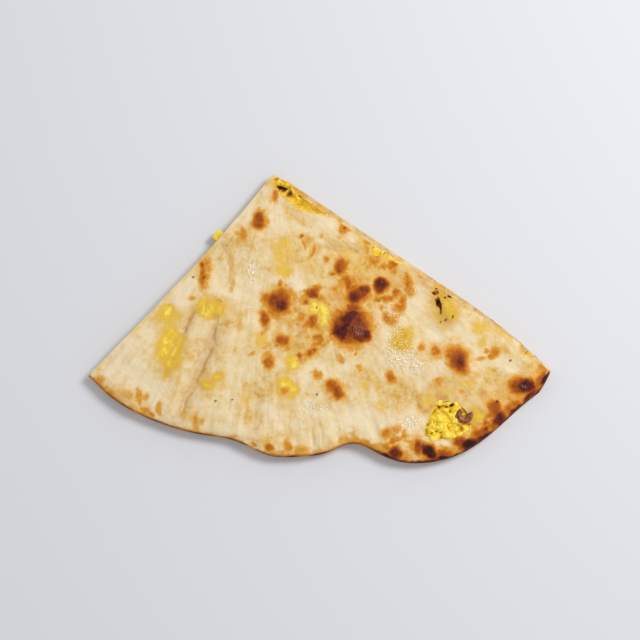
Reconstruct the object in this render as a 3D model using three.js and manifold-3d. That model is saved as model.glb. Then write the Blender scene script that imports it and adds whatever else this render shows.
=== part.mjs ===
// A quarter of a round stuffed flatbread, cut with two straight cuts that meet at a tip.
// Two thin sheets of baked dough are one piece at the browned rim and hold a layer of
// yellow onion filling, which shows at both cuts and where the upper sheet is torn.
// Millimetres. X runs along the long way of the wedge, Y towards its tip, Z up.
import * as THREE from 'three';
import { mergeVertices } from 'three/addons/utils/BufferGeometryUtils.js';
import Module from 'manifold-3d';

const wasm = await Module();
wasm.setup();

// Driving dimensions of the wedge seen from above.
const TIP = [-20.9, 64.2];
const LEFT_CORNER = [-101.4, -25.5];
const RIGHT_CORNER = [101.65, -22.9];
const RIM_SAG = 36;
const LEFT_CUT_HOLLOW = 1.8;
const RIGHT_CUT_BOW = 3.9;

// Driving dimensions of the section.
const THICKNESS = 7.8;
const TOP_SHEET = 2.1;
const BOTTOM_SHEET = 2.2;
const BAKED_RIM = 12;
const CUT_PRESS = 0.7;
const GAP = 0.3;

// Mesh sizes: about how long a triangle's side is.
const CELL_TOP = 3.5;
const CELL_BOTTOM = 8;
const CELL_INSIDE = 6.5;

// The rim is an arc that swells and dips: at says where between the left corner, 0, and
// the right corner, 1, out is how far it stands out, and spread how wide the wave is.
const RIM_WAVES = [
  { at: 0.10, out: 1.8, spread: 0.087 },
  { at: 0.34, out: -3.6, spread: 0.080 },
  { at: 0.39, out: 3.4, spread: 0.059 },
  { at: 0.57, out: -7.1, spread: 0.055 },
  { at: 0.75, out: 11.2, spread: 0.156 },
  { at: 1.11, out: 8.7, spread: 0.137 },
];

// Baked bubbles that stand up from the upper sheet: centre, half length and half width,
// turn in degrees, and rise.
const BLISTERS = [
  { at: [-18, 7], half: [5.5, 5.5], turn: 0, rise: 0.9 },
  { at: [-26.5, 42.5], half: [4.5, 3.6], turn: 60, rise: 0.7 },
  { at: [9.5, 21.5], half: [4.5, 4], turn: 90, rise: 0.8 },
  { at: [18, 11], half: [5.5, 3.2], turn: 50, rise: 1.1 },
  { at: [26.5, 14], half: [3.6, 3.4], turn: 0, rise: 1.1 },
  { at: [11, -1], half: [7, 3.6], turn: 60, rise: 1.6 },
  { at: [16.5, -6.5], half: [4.6, 4], turn: 0, rise: 1.4 },
  { at: [-16, -10.5], half: [4.2, 3.4], turn: 0, rise: 0.6 },
  { at: [6.5, -32], half: [4.6, 5], turn: 0, rise: 0.8 },
  { at: [60, -19], half: [7.6, 5], turn: -55, rise: 1.2 },
  { at: [89, -29.5], half: [5, 4.2], turn: 0, rise: 1.4 },
  { at: [76, -40], half: [4.6, 4.6], turn: 0, rise: 0.9 },
  { at: [39, 14], half: [2.4, 5], turn: 0, rise: 0.8 },
  { at: [-50, 18], half: [3.6, 8], turn: 0, rise: 0.7 },
  { at: [47, -58], half: [4, 3.4], turn: -30, rise: 0.9 },
  { at: [64, -54.5], half: [4.4, 3], turn: 20, rise: 0.8 },
  { at: [33, -58.5], half: [3.6, 3.4], turn: 0, rise: 0.8 },
];

// Folds and creases of the upper sheet: the line they follow, their width, and their
// rise, which is below zero for a valley.
const FOLDS = [
  { path: [[-45.5, -1.5], [-47, -10], [-50, -17], [-54.5, -30], [-59, -40]], width: 3.4, rise: -0.8 },
  { path: [[-53, -4], [-57, -14], [-60, -24], [-65, -38]], width: 4.5, rise: 0.6 },
  { path: [[-39, -4], [-42, -16], [-47, -28], [-50, -42]], width: 4.5, rise: 0.5 },
  { path: [[-55, 1.5], [-59.5, -6]], width: 1.8, rise: -0.6 },
  { path: [[-43.5, 33], [-40.5, 26.5], [-39.5, 21], [-39.6, 13]], width: 2.2, rise: 0.8 },
  { path: [[-39.5, 31], [-22, 33], [-14, 37]], width: 3, rise: 0.5 },
  { path: [[2.5, 30.5], [16, 29]], width: 2, rise: -0.5 },
  { path: [[-27, -36], [-31, -54]], width: 4, rise: -0.5 },
  { path: [[11, -16], [20, -30]], width: 5, rise: 0.5 },
];

// Torn and cut away places of the upper sheet, where the filling lies open. mound is how
// far the filling stands above the sheet's upper face there, and below zero under it.
const TEARS = [
  { at: [57.5, -45.5], half: [11.6, 6.8], turn: 12, ragged: 0.10, mound: 0.5 },
  { at: [-7.5, 54.5], half: [15, 5], turn: -35.4, ragged: 0.06, mound: -1.2 },
  { at: [31, 27.5], half: [6.4, 2.4], turn: -35.4, ragged: 0.04, mound: -1.2 },
  { at: [91.5, -14], half: [4.2, 2.4], turn: -42, ragged: 0.04, mound: -1.4 },
  { at: [52, 5.5], half: [2.5, 1.2], turn: -78, ragged: 0.05, mound: null },
];

// Curved strips of red onion that lie on the open filling of the largest tear.
const ONION_SLICES = [
  { at: [62.3, -42.6], radius: 2.6, from: 130, to: 235, wide: 1.6, high: 1.3 },
  { at: [62.9, -42.4], radius: 2.6, from: 262, to: 380, wide: 1.6, high: 1.3 },
];

// A block of filling that juts out of the left cut.
const LOOSE_DICE = { at: [-44.2, 36], size: [5, 5, 2.4], turn: 48 };

const degrees = Math.PI / 180;
const mix = (a, b, share) => a + (b - a) * share;
const bell = (distance, width) => Math.exp(-((distance / width) ** 2));
const smooth = (value) => {
  const share = Math.min(1, Math.max(0, value));
  return share * share * (3 - 2 * share);
};

function unitAcross(from, to, side) {
  const length = Math.hypot(to[0] - from[0], to[1] - from[1]);
  return [side * (to[1] - from[1]) / length, -side * (to[0] - from[0]) / length];
}

const OUT_LEFT = unitAcross(TIP, LEFT_CORNER, 1);
const OUT_RIGHT = unitAcross(TIP, RIGHT_CORNER, -1);
const OUT_RIM = unitAcross(LEFT_CORNER, RIGHT_CORNER, 1);

const CHORD = Math.hypot(RIGHT_CORNER[0] - LEFT_CORNER[0], RIGHT_CORNER[1] - LEFT_CORNER[1]);
const RIM_RADIUS = (CHORD * CHORD / 4 + RIM_SAG * RIM_SAG) / (2 * RIM_SAG);
const RIM_HALF_ANGLE = Math.asin(CHORD / 2 / RIM_RADIUS);
const RIM_LENGTH = 2 * RIM_RADIUS * RIM_HALF_ANGLE;
const REACH = Math.hypot(TIP[0], TIP[1] + 64);

// The rim's outline: share runs from the left corner, 0, to the right corner, 1.
function rimPoint(share) {
  const angle = mix(-RIM_HALF_ANGLE, RIM_HALF_ANGLE, share);
  const ends = Math.min(1, Math.sin(Math.PI * share) / 0.15);
  const waves = RIM_WAVES.reduce((sum, wave) => sum + wave.out * bell(share - wave.at, wave.spread), 0);
  const radius = RIM_RADIUS + waves * Math.max(0, ends);
  const along = radius * Math.sin(angle);
  const out = radius * Math.cos(angle) - RIM_RADIUS + RIM_SAG;
  const middle = [(LEFT_CORNER[0] + RIGHT_CORNER[0]) / 2, (LEFT_CORNER[1] + RIGHT_CORNER[1]) / 2];
  return [
    middle[0] + OUT_RIM[0] * out - OUT_RIM[1] * along,
    middle[1] + OUT_RIM[1] * out + OUT_RIM[0] * along,
  ];
}

// A point of the wedge: down runs from the tip, 0, to the rim, 1, and across from the left
// cut, 0, to the right cut, 1. inset moves the cuts inwards, in millimetres.
function fanPoint(down, across, inset) {
  const rim = rimPoint(across);
  const hollow = -LEFT_CUT_HOLLOW * Math.sin(Math.PI * down ** 0.8) - inset.left;
  const bow = RIGHT_CUT_BOW * Math.sin(Math.PI * down ** 2) - inset.right;
  const nearLeft = (1 - across) ** 3;
  const nearRight = across ** 3;
  return [
    mix(TIP[0], rim[0], down) + OUT_LEFT[0] * hollow * nearLeft + OUT_RIGHT[0] * bow * nearRight,
    mix(TIP[1], rim[1], down) + OUT_LEFT[1] * hollow * nearLeft + OUT_RIGHT[1] * bow * nearRight,
  ];
}

function distanceToPath([x, y], path) {
  let nearest = Infinity;
  for (let i = 0; i + 1 < path.length; i += 1) {
    const [ax, ay] = path[i];
    const [bx, by] = path[i + 1];
    const length2 = (bx - ax) ** 2 + (by - ay) ** 2;
    const share = Math.min(1, Math.max(0, ((x - ax) * (bx - ax) + (y - ay) * (by - ay)) / length2));
    nearest = Math.min(nearest, Math.hypot(x - mix(ax, bx, share), y - mix(ay, by, share)));
  }
  return nearest;
}

// How far a point lies from the middle of an oval, as a share of the way to its edge.
function shareOfOval([x, y], { at, half, turn }) {
  const dx = x - at[0];
  const dy = y - at[1];
  const cos = Math.cos(turn * degrees);
  const sin = Math.sin(turn * degrees);
  return Math.hypot((dx * cos + dy * sin) / half[0], (dy * cos - dx * sin) / half[1]);
}

// The underside lies flat, with shallow hollows, and lifts a little along the rim.
function bottomAt(point, down) {
  const hollows = Math.max(0, 0.6 * Math.sin(point[0] / 19 + 1) * Math.sin(point[1] / 15 + 2));
  return hollows + 0.9 * bell((1 - down) * REACH, 6);
}

// The upper face without its small relief: flat, lumpy over the filling, lower at the cuts
// where the knife pressed it, and rounded down at the rim.
function broadTopAt(point, down, across) {
  const [x, y] = point;
  const lumps = 0.3 * Math.sin(x / 13 + 0.6) * Math.cos(y / 11) + 0.25 * Math.sin((x + 1.4 * y) / 9);
  const rowLength = down * RIM_LENGTH;
  const pressed = CUT_PRESS * (bell(across * rowLength, 6) + bell((1 - across) * rowLength, 6));
  const rim = (1 - down) * REACH;
  return THICKNESS + lumps - pressed + 0.5 * bell(rim - 7, 5) - 2.4 * bell(rim, 3.5);
}

function topAt(point, down, across) {
  let height = broadTopAt(point, down, across);
  for (const blister of BLISTERS) {
    height += blister.rise * bell(shareOfOval(point, blister), 0.8);
  }
  for (const fold of FOLDS) {
    height += fold.rise * bell(distanceToPath(point, fold.path), fold.width);
  }
  return height;
}

// Rows of points across the wedge, from the tip to the rim. tip is the share of the way
// to the rim where the first row lies, and the other insets are millimetres.
function rowsOfPoints(cell, inset, heightAt) {
  const rows = [];
  const last = 1 - inset.rim / REACH;
  const count = Math.round(REACH / cell);
  for (let i = 0; i <= count; i += 1) {
    const down = mix(inset.tip, last, i / count);
    const steps = Math.max(1, Math.round(down * RIM_LENGTH / cell));
    const row = [];
    for (let j = 0; j <= steps; j += 1) {
      const point = fanPoint(down, j / steps, inset);
      row.push([...point, heightAt(point, down, j / steps)]);
    }
    rows.push(row);
  }
  return rows;
}

// Collects points and triangles, and fills the strip between two lines of points.
class Skin {
  constructor() {
    this.points = [];
    this.faces = [];
  }

  add(line) {
    return line.map((point) => this.points.push(point) - 1);
  }

  distance(a, b) {
    return Math.hypot(...this.points[a].map((value, axis) => value - this.points[b][axis]));
  }

  // The second line lies to the left of the first, seen from outside along the first.
  strip(first, second) {
    let i = 0;
    let j = 0;
    while (i + 1 < first.length || j + 1 < second.length) {
      const firstEnds = i + 1 === first.length;
      const secondEnds = j + 1 === second.length;
      const stepFirst = !firstEnds && (secondEnds
        || this.distance(first[i + 1], second[j]) <= this.distance(first[i], second[j + 1]));
      if (stepFirst) {
        this.faces.push([first[i], first[i + 1], second[j]]);
        i += 1;
      } else {
        this.faces.push([first[i], second[j + 1], second[j]]);
        j += 1;
      }
    }
  }

  sheet(rows, facesUp) {
    const lines = rows.map((row) => this.add(row));
    for (let i = 0; i + 1 < lines.length; i += 1) {
      if (facesUp) this.strip(lines[i + 1], lines[i]);
      else this.strip(lines[i], lines[i + 1]);
    }
    return edgeOf(lines);
  }

  geometry() {
    const geometry = new THREE.BufferGeometry();
    geometry.setAttribute('position', new THREE.Float32BufferAttribute(this.points.flat(), 3));
    geometry.setIndex(this.faces.flat());
    return geometry;
  }
}

// The closed line round a set of rows: down the left cut, along the rim, up the right cut.
function edgeOf(rows) {
  const left = rows.map((row) => row[0]);
  const rim = rows[rows.length - 1].slice(1);
  const right = rows.map((row) => row[row.length - 1]).reverse().slice(1);
  return [...left, ...rim, ...right, left[0]];
}

// A closed slab from a list of levels, highest first. Each level has its insets and the
// height of its points; the first and last are filled and the others shape the wall.
function slab(levels) {
  const skin = new Skin();
  const heights = levels.map(({ cell, inset, heightAt }) => rowsOfPoints(cell, inset, heightAt));
  let above = skin.sheet(heights[0], true);
  for (const rows of heights.slice(1, -1)) {
    const line = skin.add(edgeOf(rows).slice(0, -1));
    line.push(line[0]);
    skin.strip(line, above);
    above = line;
  }
  const lowest = skin.sheet(heights[heights.length - 1], false);
  skin.strip(lowest, above);
  return skin.geometry();
}

function toSolid(geometry) {
  const plain = geometry.clone();
  plain.deleteAttribute('normal');
  plain.deleteAttribute('uv');
  const merged = mergeVertices(plain, 1e-4);
  return new wasm.Manifold(new wasm.Mesh({
    numProp: 3,
    vertProperties: new Float32Array(merged.attributes.position.array),
    triVerts: new Uint32Array(merged.index.array),
  }));
}

function toGeometry(solid) {
  const mesh = solid.getMesh();
  const geometry = new THREE.BufferGeometry();
  geometry.setAttribute('position', new THREE.BufferAttribute(new Float32Array(mesh.vertProperties), 3));
  geometry.setIndex(new THREE.BufferAttribute(new Uint32Array(mesh.triVerts), 1));
  return geometry;
}

// The whole wedge with no pocket. The right cut leans, so that the lower sheet reaches
// further out than the upper one, and the rim is round.
function wedge() {
  const between = (share) => (point, down, across) => (
    mix(bottomAt(point, down), topAt(point, down, across), share));
  return slab([
    { cell: CELL_TOP, inset: { tip: 0.022, left: 0.5, right: 2.0, rim: 2.0 }, heightAt: topAt },
    { cell: CELL_TOP, inset: { tip: 0.016, left: 0.3, right: 1.4, rim: 0.6 }, heightAt: between(0.74) },
    { cell: CELL_TOP, inset: { tip: 0.010, left: 0.2, right: 0.8, rim: 0 }, heightAt: between(0.45) },
    { cell: CELL_TOP, inset: { tip: 0.006, left: 0.0, right: 0.3, rim: 0.3 }, heightAt: between(0.18) },
    { cell: CELL_BOTTOM, inset: { tip: 0.004, left: 0.2, right: 0.1, rim: 1.5 }, heightAt: bottomAt },
  ]);
}

// The layer between the two sheets, clear of each by gap and longer than the cuts need. It
// thins out towards the rim.
function layer(gap) {
  const inset = { tip: 0, left: -4, right: -4, rim: BAKED_RIM };
  const thin = (down) => 0.9 * smooth(1 - ((1 - down) * REACH - BAKED_RIM) / 14);
  return toSolid(slab([
    {
      cell: CELL_INSIDE,
      inset,
      heightAt: (point, down, across) => broadTopAt(point, down, across) - TOP_SHEET - gap - thin(down),
    },
    {
      cell: CELL_INSIDE,
      inset,
      heightAt: (point, down) => bottomAt(point, down) + BOTTOM_SHEET + gap + thin(down) / 2,
    },
  ]));
}

// How far the edge of a tear stands out at an angle, as a share of its oval.
function raggedEdge(angle, ragged) {
  return 1 + ragged * Math.sin(3 * angle + 1) + ragged * Math.cos(5 * angle);
}

// A ragged oval prism that opens the upper sheet.
function tearPrism({ at, half, turn, ragged }, low, high) {
  const sides = 18;
  const outline = Array.from({ length: sides }, (_, i) => {
    const angle = i / sides * 2 * Math.PI;
    const edge = raggedEdge(angle, ragged);
    return new THREE.Vector2(half[0] * edge * Math.cos(angle), half[1] * edge * Math.sin(angle));
  });
  const prism = new THREE.ExtrudeGeometry(new THREE.Shape(outline), {
    depth: high - low,
    bevelEnabled: false,
  });
  prism.rotateZ(turn * degrees);
  prism.translate(at[0], at[1], low);
  return toSolid(prism);
}

// Filling that wells up through a tear: a lumpy dome a little smaller than the tear. grow
// makes it larger all round, for the room that the dough leaves it.
function mound({ at, half, turn, ragged, mound: rise }, grow) {
  const foot = BOTTOM_SHEET + 1 - grow;
  const height = THICKNESS + rise + grow - foot;
  const dome = new THREE.SphereGeometry(1, Math.round(9 + half[0]), 8);
  dome.rotateX(Math.PI / 2);
  const position = dome.attributes.position;
  for (let i = 0; i < position.count; i += 1) {
    const edge = 0.9 * raggedEdge(Math.atan2(position.getY(i), position.getX(i)), ragged);
    const x = position.getX(i) * (half[0] * edge + grow);
    const y = position.getY(i) * (half[1] * edge + grow);
    const level = Math.sign(position.getZ(i)) * Math.abs(position.getZ(i)) ** 0.6;
    const lumps = 0.3 * Math.sin(1.6 * x) * Math.cos(1.9 * y) * smooth(level);
    position.setXYZ(i, x, y, height * (level + 1) / 2 + lumps);
  }
  dome.rotateZ(turn * degrees);
  dome.translate(at[0], at[1], foot);
  return toSolid(dome);
}

function looseDice({ at, size, turn }, grow) {
  const dice = new THREE.BoxGeometry(...size.map((side) => side + 2 * grow));
  dice.rotateZ(turn * degrees);
  dice.translate(at[0], at[1], BOTTOM_SHEET + 2 * GAP + size[2] / 2);
  return toSolid(dice);
}

// A strip that follows part of a circle, with an oval section, half sunk in the filling.
function onionSlice({ at, radius, from, to, wide, high }, grow) {
  const steps = 8;
  const overrun = grow / radius / degrees;
  const height = THICKNESS + TEARS[0].mound;
  const points = Array.from({ length: steps + 1 }, (_, i) => {
    const angle = mix(from - overrun, to + overrun, i / steps) * degrees;
    return new THREE.Vector3(at[0] + radius * Math.cos(angle), at[1] + radius * Math.sin(angle), height);
  });
  const section = new THREE.Shape();
  section.absellipse(0, 0, high / 2 + grow, wide / 2 + grow, 0, 2 * Math.PI);
  return new THREE.ExtrudeGeometry(section, {
    steps,
    curveSegments: 4,
    extrudePath: new THREE.CatmullRomCurve3(points),
    bevelEnabled: false,
  });
}

// Everything within the wedge's outline, set in by inset.
function outlinePrism(inset) {
  return toSolid(slab([
    { cell: CELL_INSIDE, inset, heightAt: () => THICKNESS + 5 },
    { cell: CELL_INSIDE, inset, heightAt: () => 0 },
  ]));
}

function breadSolid() {
  let solid = toSolid(wedge()).subtract(layer(0));
  for (const tear of TEARS) {
    solid = solid.subtract(tearPrism(tear, BOTTOM_SHEET + 1.6, THICKNESS + 5));
    if (tear.mound !== null) solid = solid.subtract(mound(tear, GAP));
  }
  return solid.subtract(looseDice(LOOSE_DICE, GAP));
}

function fillingSolid() {
  const cuts = { tip: 0.02, left: 0.4, right: 1.1 };
  const inCuts = outlinePrism({ ...cuts, rim: 2 });
  let solid = layer(GAP).intersect(outlinePrism({ ...cuts, rim: BAKED_RIM + 1 }));
  for (const tear of TEARS.filter(({ mound: rise }) => rise !== null)) {
    solid = solid.add(mound(tear, 0).intersect(inCuts));
  }
  for (const slice of ONION_SLICES) solid = solid.subtract(toSolid(onionSlice(slice, GAP)));
  return solid.add(looseDice(LOOSE_DICE, 0));
}

function named(name, geometry, { color, roughness }) {
  const mesh = new THREE.Mesh(geometry, new THREE.MeshStandardMaterial({ color, roughness, metalness: 0 }));
  mesh.name = name;
  return mesh;
}

const baked = { color: 0xe3c48c, roughness: 0.6 };
const yellow = { color: 0xe8bf3c, roughness: 0.5 };
const purple = { color: 0x7a4a3c, roughness: 0.45 };

const kulcha = new THREE.Group();
kulcha.add(named('bread', toGeometry(breadSolid()), baked));
kulcha.add(named('filling', toGeometry(fillingSolid()), yellow));
ONION_SLICES.forEach((slice, index) => {
  kulcha.add(named(`onion_slice_${index + 1}`, onionSlice(slice, 0), purple));
});

export default kulcha;
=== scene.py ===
# %% [markdown]
# # A wedge of onion kulcha
#
# An onion kulcha is a flatbread: a thin layer of yellow onion filling between two sheets of
# dough that are pressed together round the rim and baked on the wall of a clay oven. This is
# a quarter of one, cut with two straight cuts that meet at a tip.
#
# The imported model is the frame: it says how large each part is and where it lies. Here each
# of its parts gets a finer piece in its place. Sizes are in millimetres in the tables and
# formulas, and become metres when they reach Blender.

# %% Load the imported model
import math

import bpy
import numpy as np
from mathutils import Matrix, Vector


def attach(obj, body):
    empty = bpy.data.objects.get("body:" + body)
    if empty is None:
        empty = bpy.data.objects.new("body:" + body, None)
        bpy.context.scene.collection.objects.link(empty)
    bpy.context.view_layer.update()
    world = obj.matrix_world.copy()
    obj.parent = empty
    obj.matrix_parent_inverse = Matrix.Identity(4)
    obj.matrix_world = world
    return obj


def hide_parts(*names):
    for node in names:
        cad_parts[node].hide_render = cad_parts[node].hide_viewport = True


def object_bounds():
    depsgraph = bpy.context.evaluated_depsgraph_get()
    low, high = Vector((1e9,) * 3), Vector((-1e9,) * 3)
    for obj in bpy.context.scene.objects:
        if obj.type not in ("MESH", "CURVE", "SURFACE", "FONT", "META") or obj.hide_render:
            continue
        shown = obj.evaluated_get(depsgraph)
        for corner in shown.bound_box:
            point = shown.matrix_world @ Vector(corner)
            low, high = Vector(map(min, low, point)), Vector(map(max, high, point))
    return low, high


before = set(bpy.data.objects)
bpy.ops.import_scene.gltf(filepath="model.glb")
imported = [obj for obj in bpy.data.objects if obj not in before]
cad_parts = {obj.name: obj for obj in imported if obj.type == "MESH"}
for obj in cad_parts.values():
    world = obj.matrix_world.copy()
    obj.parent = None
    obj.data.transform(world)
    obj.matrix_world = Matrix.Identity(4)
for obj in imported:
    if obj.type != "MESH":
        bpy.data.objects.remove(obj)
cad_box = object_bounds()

MM = 0.001
print("the packed parts:", sorted(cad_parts))
print("the wedge measures", [round(side / MM, 1) for side in cad_box[1] - cad_box[0]], "mm")

# %% [markdown]
# ## Small helpers
#
# Operators work on what is selected, so every piece starts with nothing selected. Positions
# are easier to work out for all corners of a mesh at once, so two helpers read and write them
# as one table of numbers.

# %% Helpers for meshes
def deselect_all():
    bpy.ops.object.select_all(action="DESELECT")


def pick(piece):
    """Makes a piece the only selected and the active one."""
    deselect_all()
    piece.select_set(True)
    bpy.context.view_layer.objects.active = piece


def start_editing():
    """Goes to edit mode with everything selected."""
    bpy.ops.object.mode_set(mode="EDIT")
    bpy.ops.mesh.select_all(action="SELECT")


def stop_editing(outward=False):
    """Goes back to object mode. With outward, all faces are made to look outward first."""
    if outward:
        bpy.ops.mesh.select_all(action="SELECT")
        bpy.ops.mesh.normals_make_consistent(inside=False)
    bpy.ops.object.mode_set(mode="OBJECT")


def read_places(items, name):
    places = np.empty(len(items) * 3)
    items.foreach_get(name, places)
    return places.reshape(-1, 3) / MM


def corners(piece):
    """The places of a piece's vertices, in millimetres."""
    return read_places(piece.data.vertices, "co")


def put_corners(piece, places):
    piece.data.vertices.foreach_set("co", (places * MM).ravel())
    piece.data.update()


def count(piece):
    piece.data.calc_loop_triangles()
    return f"{piece.name}: {len(piece.data.loop_triangles)} triangles"


# %% [markdown]
# ## The outline
#
# Seen from above the wedge is a fan: two cuts that meet at the tip and a rim that is part of
# a circle, with the swells and dips of dough that was stretched by hand. The cuts aren't
# quite straight either. A point of the fan is found from two shares: how far down it lies
# from the tip to the rim, and how far across from the left cut to the right cut.

# %% Corners of the wedge and waves of its rim
TIP = np.array([-20.9, 64.2])
LEFT_CORNER = np.array([-101.4, -25.5])
RIGHT_CORNER = np.array([101.65, -22.9])
RIM_SAG = 36
RIM_ENDS = 0.15
LEFT_CUT_HOLLOW = 1.8
RIGHT_CUT_BOW = 3.9
TIP_BOW = 1.9

# Where along the rim a wave is, how far it stands out, and its spread as a share of the rim.
RIM_WAVES = [
    (0.10, 1.8, 0.087),
    (0.34, -3.6, 0.080),
    (0.39, 3.4, 0.059),
    (0.57, -7.1, 0.055),
    (0.75, 11.2, 0.156),
    (1.11, 8.7, 0.137),
]
print("the corners lie at", TIP, LEFT_CORNER, RIGHT_CORNER)

# %% Soft curves
def mix(start, end, share):
    return start + (end - start) * share


def bell(distance, width):
    return np.exp(-((distance / width) ** 2))


def smooth(value):
    share = np.clip(value, 0, 1)
    return share * share * (3 - 2 * share)


def ramp_up(value, start, width):
    """0 up to start, 1 from start + width on, and smooth between."""
    return smooth((value - start) / width)


def ramp_down(value, start, width):
    return 1 - ramp_up(value, start, width)


print("a smooth way from 0 to 1:", smooth(np.linspace(0, 1, 5)))

# %% Outline of the wedge
def side_of(start, end, side):
    """The direction that points straight out of the line from start to end."""
    along = (end - start) / np.linalg.norm(end - start)
    return np.array([side * along[1], -side * along[0]])


OUT_LEFT = side_of(TIP, LEFT_CORNER, 1)
OUT_RIGHT = side_of(TIP, RIGHT_CORNER, -1)
OUT_RIM = side_of(LEFT_CORNER, RIGHT_CORNER, 1)
ALONG_RIM = np.array([-OUT_RIM[1], OUT_RIM[0]])
CHORD = np.linalg.norm(RIGHT_CORNER - LEFT_CORNER)
RIM_RADIUS = (CHORD**2 / 4 + RIM_SAG**2) / (2 * RIM_SAG)
RIM_HALF_ANGLE = math.asin(CHORD / 2 / RIM_RADIUS)
REACH = 130
RIM_LENGTH = 2 * RIM_RADIUS * RIM_HALF_ANGLE


def rim_point(share):
    """Points of the rim, from the left corner at 0 to the right corner at 1."""
    share = np.asarray(share, float)
    angle = mix(-RIM_HALF_ANGLE, RIM_HALF_ANGLE, share)
    ends = np.clip(np.sin(np.pi * share) / RIM_ENDS, 0, 1)
    waves = sum(out * bell(share - at, spread) for at, out, spread in RIM_WAVES)
    radius = RIM_RADIUS + waves * ends
    along = (radius * np.sin(angle))[..., None]
    out = (radius * np.cos(angle) - RIM_RADIUS + RIM_SAG)[..., None]
    return (LEFT_CORNER + RIGHT_CORNER) / 2 + OUT_RIM * out + ALONG_RIM * along


def fan_point(down, across, left_in, right_in):
    """Points of the wedge. left_in and right_in set the cuts in, in millimetres."""
    down, across = np.broadcast_arrays(np.asarray(down, float), np.asarray(across, float))
    hollow = -LEFT_CUT_HOLLOW * np.sin(np.pi * down**0.8) - left_in
    bow = RIGHT_CUT_BOW * np.sin(np.pi * down**2) - right_in
    bow = bow + TIP_BOW * smooth(down / 0.06) * ramp_down(down, 0.12, 0.6)
    left_move = (hollow * (1 - across) ** 3)[..., None] * OUT_LEFT
    right_move = (bow * across**3)[..., None] * OUT_RIGHT
    return mix(TIP, rim_point(across), down[..., None]) + left_move + right_move


def outline(left_in=0, right_in=0, rim_in=0, spacing=0.8):
    """The three sides of the wedge as lines of points: left cut, rim and right cut."""
    last = 1 - rim_in / REACH
    down = np.linspace(0, last, round(REACH / spacing))
    across = np.linspace(0, 1, round(RIM_LENGTH / spacing))
    left = fan_point(down, 0, left_in, right_in)
    rim = fan_point(last, across, left_in, right_in)
    right = fan_point(down[::-1], 1, left_in, right_in)
    return left, rim, right


LEFT_SIDE, RIM_SIDE, RIGHT_SIDE = outline()
print("the rim is", round(RIM_LENGTH), "mm long")

# %% [markdown]
# ## Distances
#
# Almost everything about this bread depends on how far a point is from something: the cuts
# press it down, the rim is round and brown, a fold lifts it, a burn darkens it. These helpers
# measure distances from many points at once: to a line, and to an oval.

# %% Distances
def nearest_on_line(points, line):
    """For each point: its distance to a line, and the place along it as a row number."""
    best = np.full(len(points), np.inf)
    along = np.zeros(len(points))
    for row in range(len(line) - 1):
        start, step = line[row], line[row + 1] - line[row]
        offset = points - start
        share = np.clip(offset @ step / (step @ step), 0, 1)
        distance = np.hypot(offset[:, 0] - share * step[0], offset[:, 1] - share * step[1])
        nearer = distance < best
        best[nearer] = distance[nearer]
        along[nearer] = row + share[nearer]
    return best, along


def share_of_oval(points, at, half, turn=0):
    """How far a point lies from the middle of an oval, as a share of the way to its edge."""
    x, y = points[:, 0] - at[0], points[:, 1] - at[1]
    cos, sin = math.cos(math.radians(turn)), math.sin(math.radians(turn))
    return np.hypot((x * cos + y * sin) / half[0], (y * cos - x * sin) / half[1])


def each_oval(points, rows):
    """Goes through a table of ovals: each point's share for that oval, and the oval's value."""
    for x, y, half_x, half_y, value, *turn in rows:
        yield share_of_oval(points, (x, y), (half_x, half_y), *turn), value


def distance_from(points, at):
    return np.hypot(*(points - at).T)


def inside(points, closed_line):
    """True for the points that lie within a closed line."""
    x, y = points[:, 0], points[:, 1]
    within = np.zeros(len(points), bool)
    for (ax, ay), (bx, by) in zip(closed_line, np.roll(closed_line, -1, axis=0)):
        if ay != by:
            crosses = (ay > y) != (by > y)
            within ^= crosses & (x < ax + (bx - ax) * (y - ay) / (by - ay))
    return within


print("the left cut is", round(float(distance_from(LEFT_CORNER, TIP))), "mm long")

# %% [markdown]
# ## Unevenness
#
# Dough is uneven at every scale. Random heights on the corners of a square lattice, joined
# smoothly, make soft bumps of the lattice's size. A fixed seed gives the same bumps each run.

# %% Seeded bumps
LATTICE = 256


def bumps(points, cell, seed):
    """Soft random bumps between -1 and 1, about as wide as two cells."""
    lattice = np.random.default_rng(seed).uniform(-1, 1, (LATTICE, LATTICE))
    scaled = points[:, :2] / cell + LATTICE / 2
    low = np.floor(scaled).astype(int)
    share = smooth(scaled - low)
    x0, y0 = low[:, 0] % LATTICE, low[:, 1] % LATTICE
    x1, y1 = (x0 + 1) % LATTICE, (y0 + 1) % LATTICE
    near = mix(lattice[x0, y0], lattice[x1, y0], share[:, 0])
    far = mix(lattice[x0, y1], lattice[x1, y1], share[:, 0])
    return mix(near, far, share[:, 1])


def stirred(points, amount, cell, seed):
    """The points moved about at random, so that what is drawn at them gets ragged edges."""
    moved = np.stack([bumps(points, cell, seed), bumps(points, cell, seed + 1)], axis=1)
    return points[:, :2] + amount * moved


print("bumps along a line:", bumps(np.arange(8).reshape(4, 2), 2, 1).round(2))

# %% [markdown]
# ## The height of the two faces
#
# The upper face is nearly flat. It lies lower along the cuts, where the knife pressed it, and
# rounds down at the rim. On it are blisters that the oven's heat raised and then browned,
# folds where the dough slid or lapped over, and finer creases. The underside rests flat, with
# shallow hollows.

# %% Section of the bread
THICKNESS = 7.8
TOP_SHEET = 2.1
BOTTOM_SHEET = 2.2
BAKED_RIM = 12
CUT_PRESS = 0.7
HIGH = 9.0
PRESSED_SHARE = 0.55
print("between the sheets:", round(THICKNESS - TOP_SHEET - BOTTOM_SHEET, 1), "mm")

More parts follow.
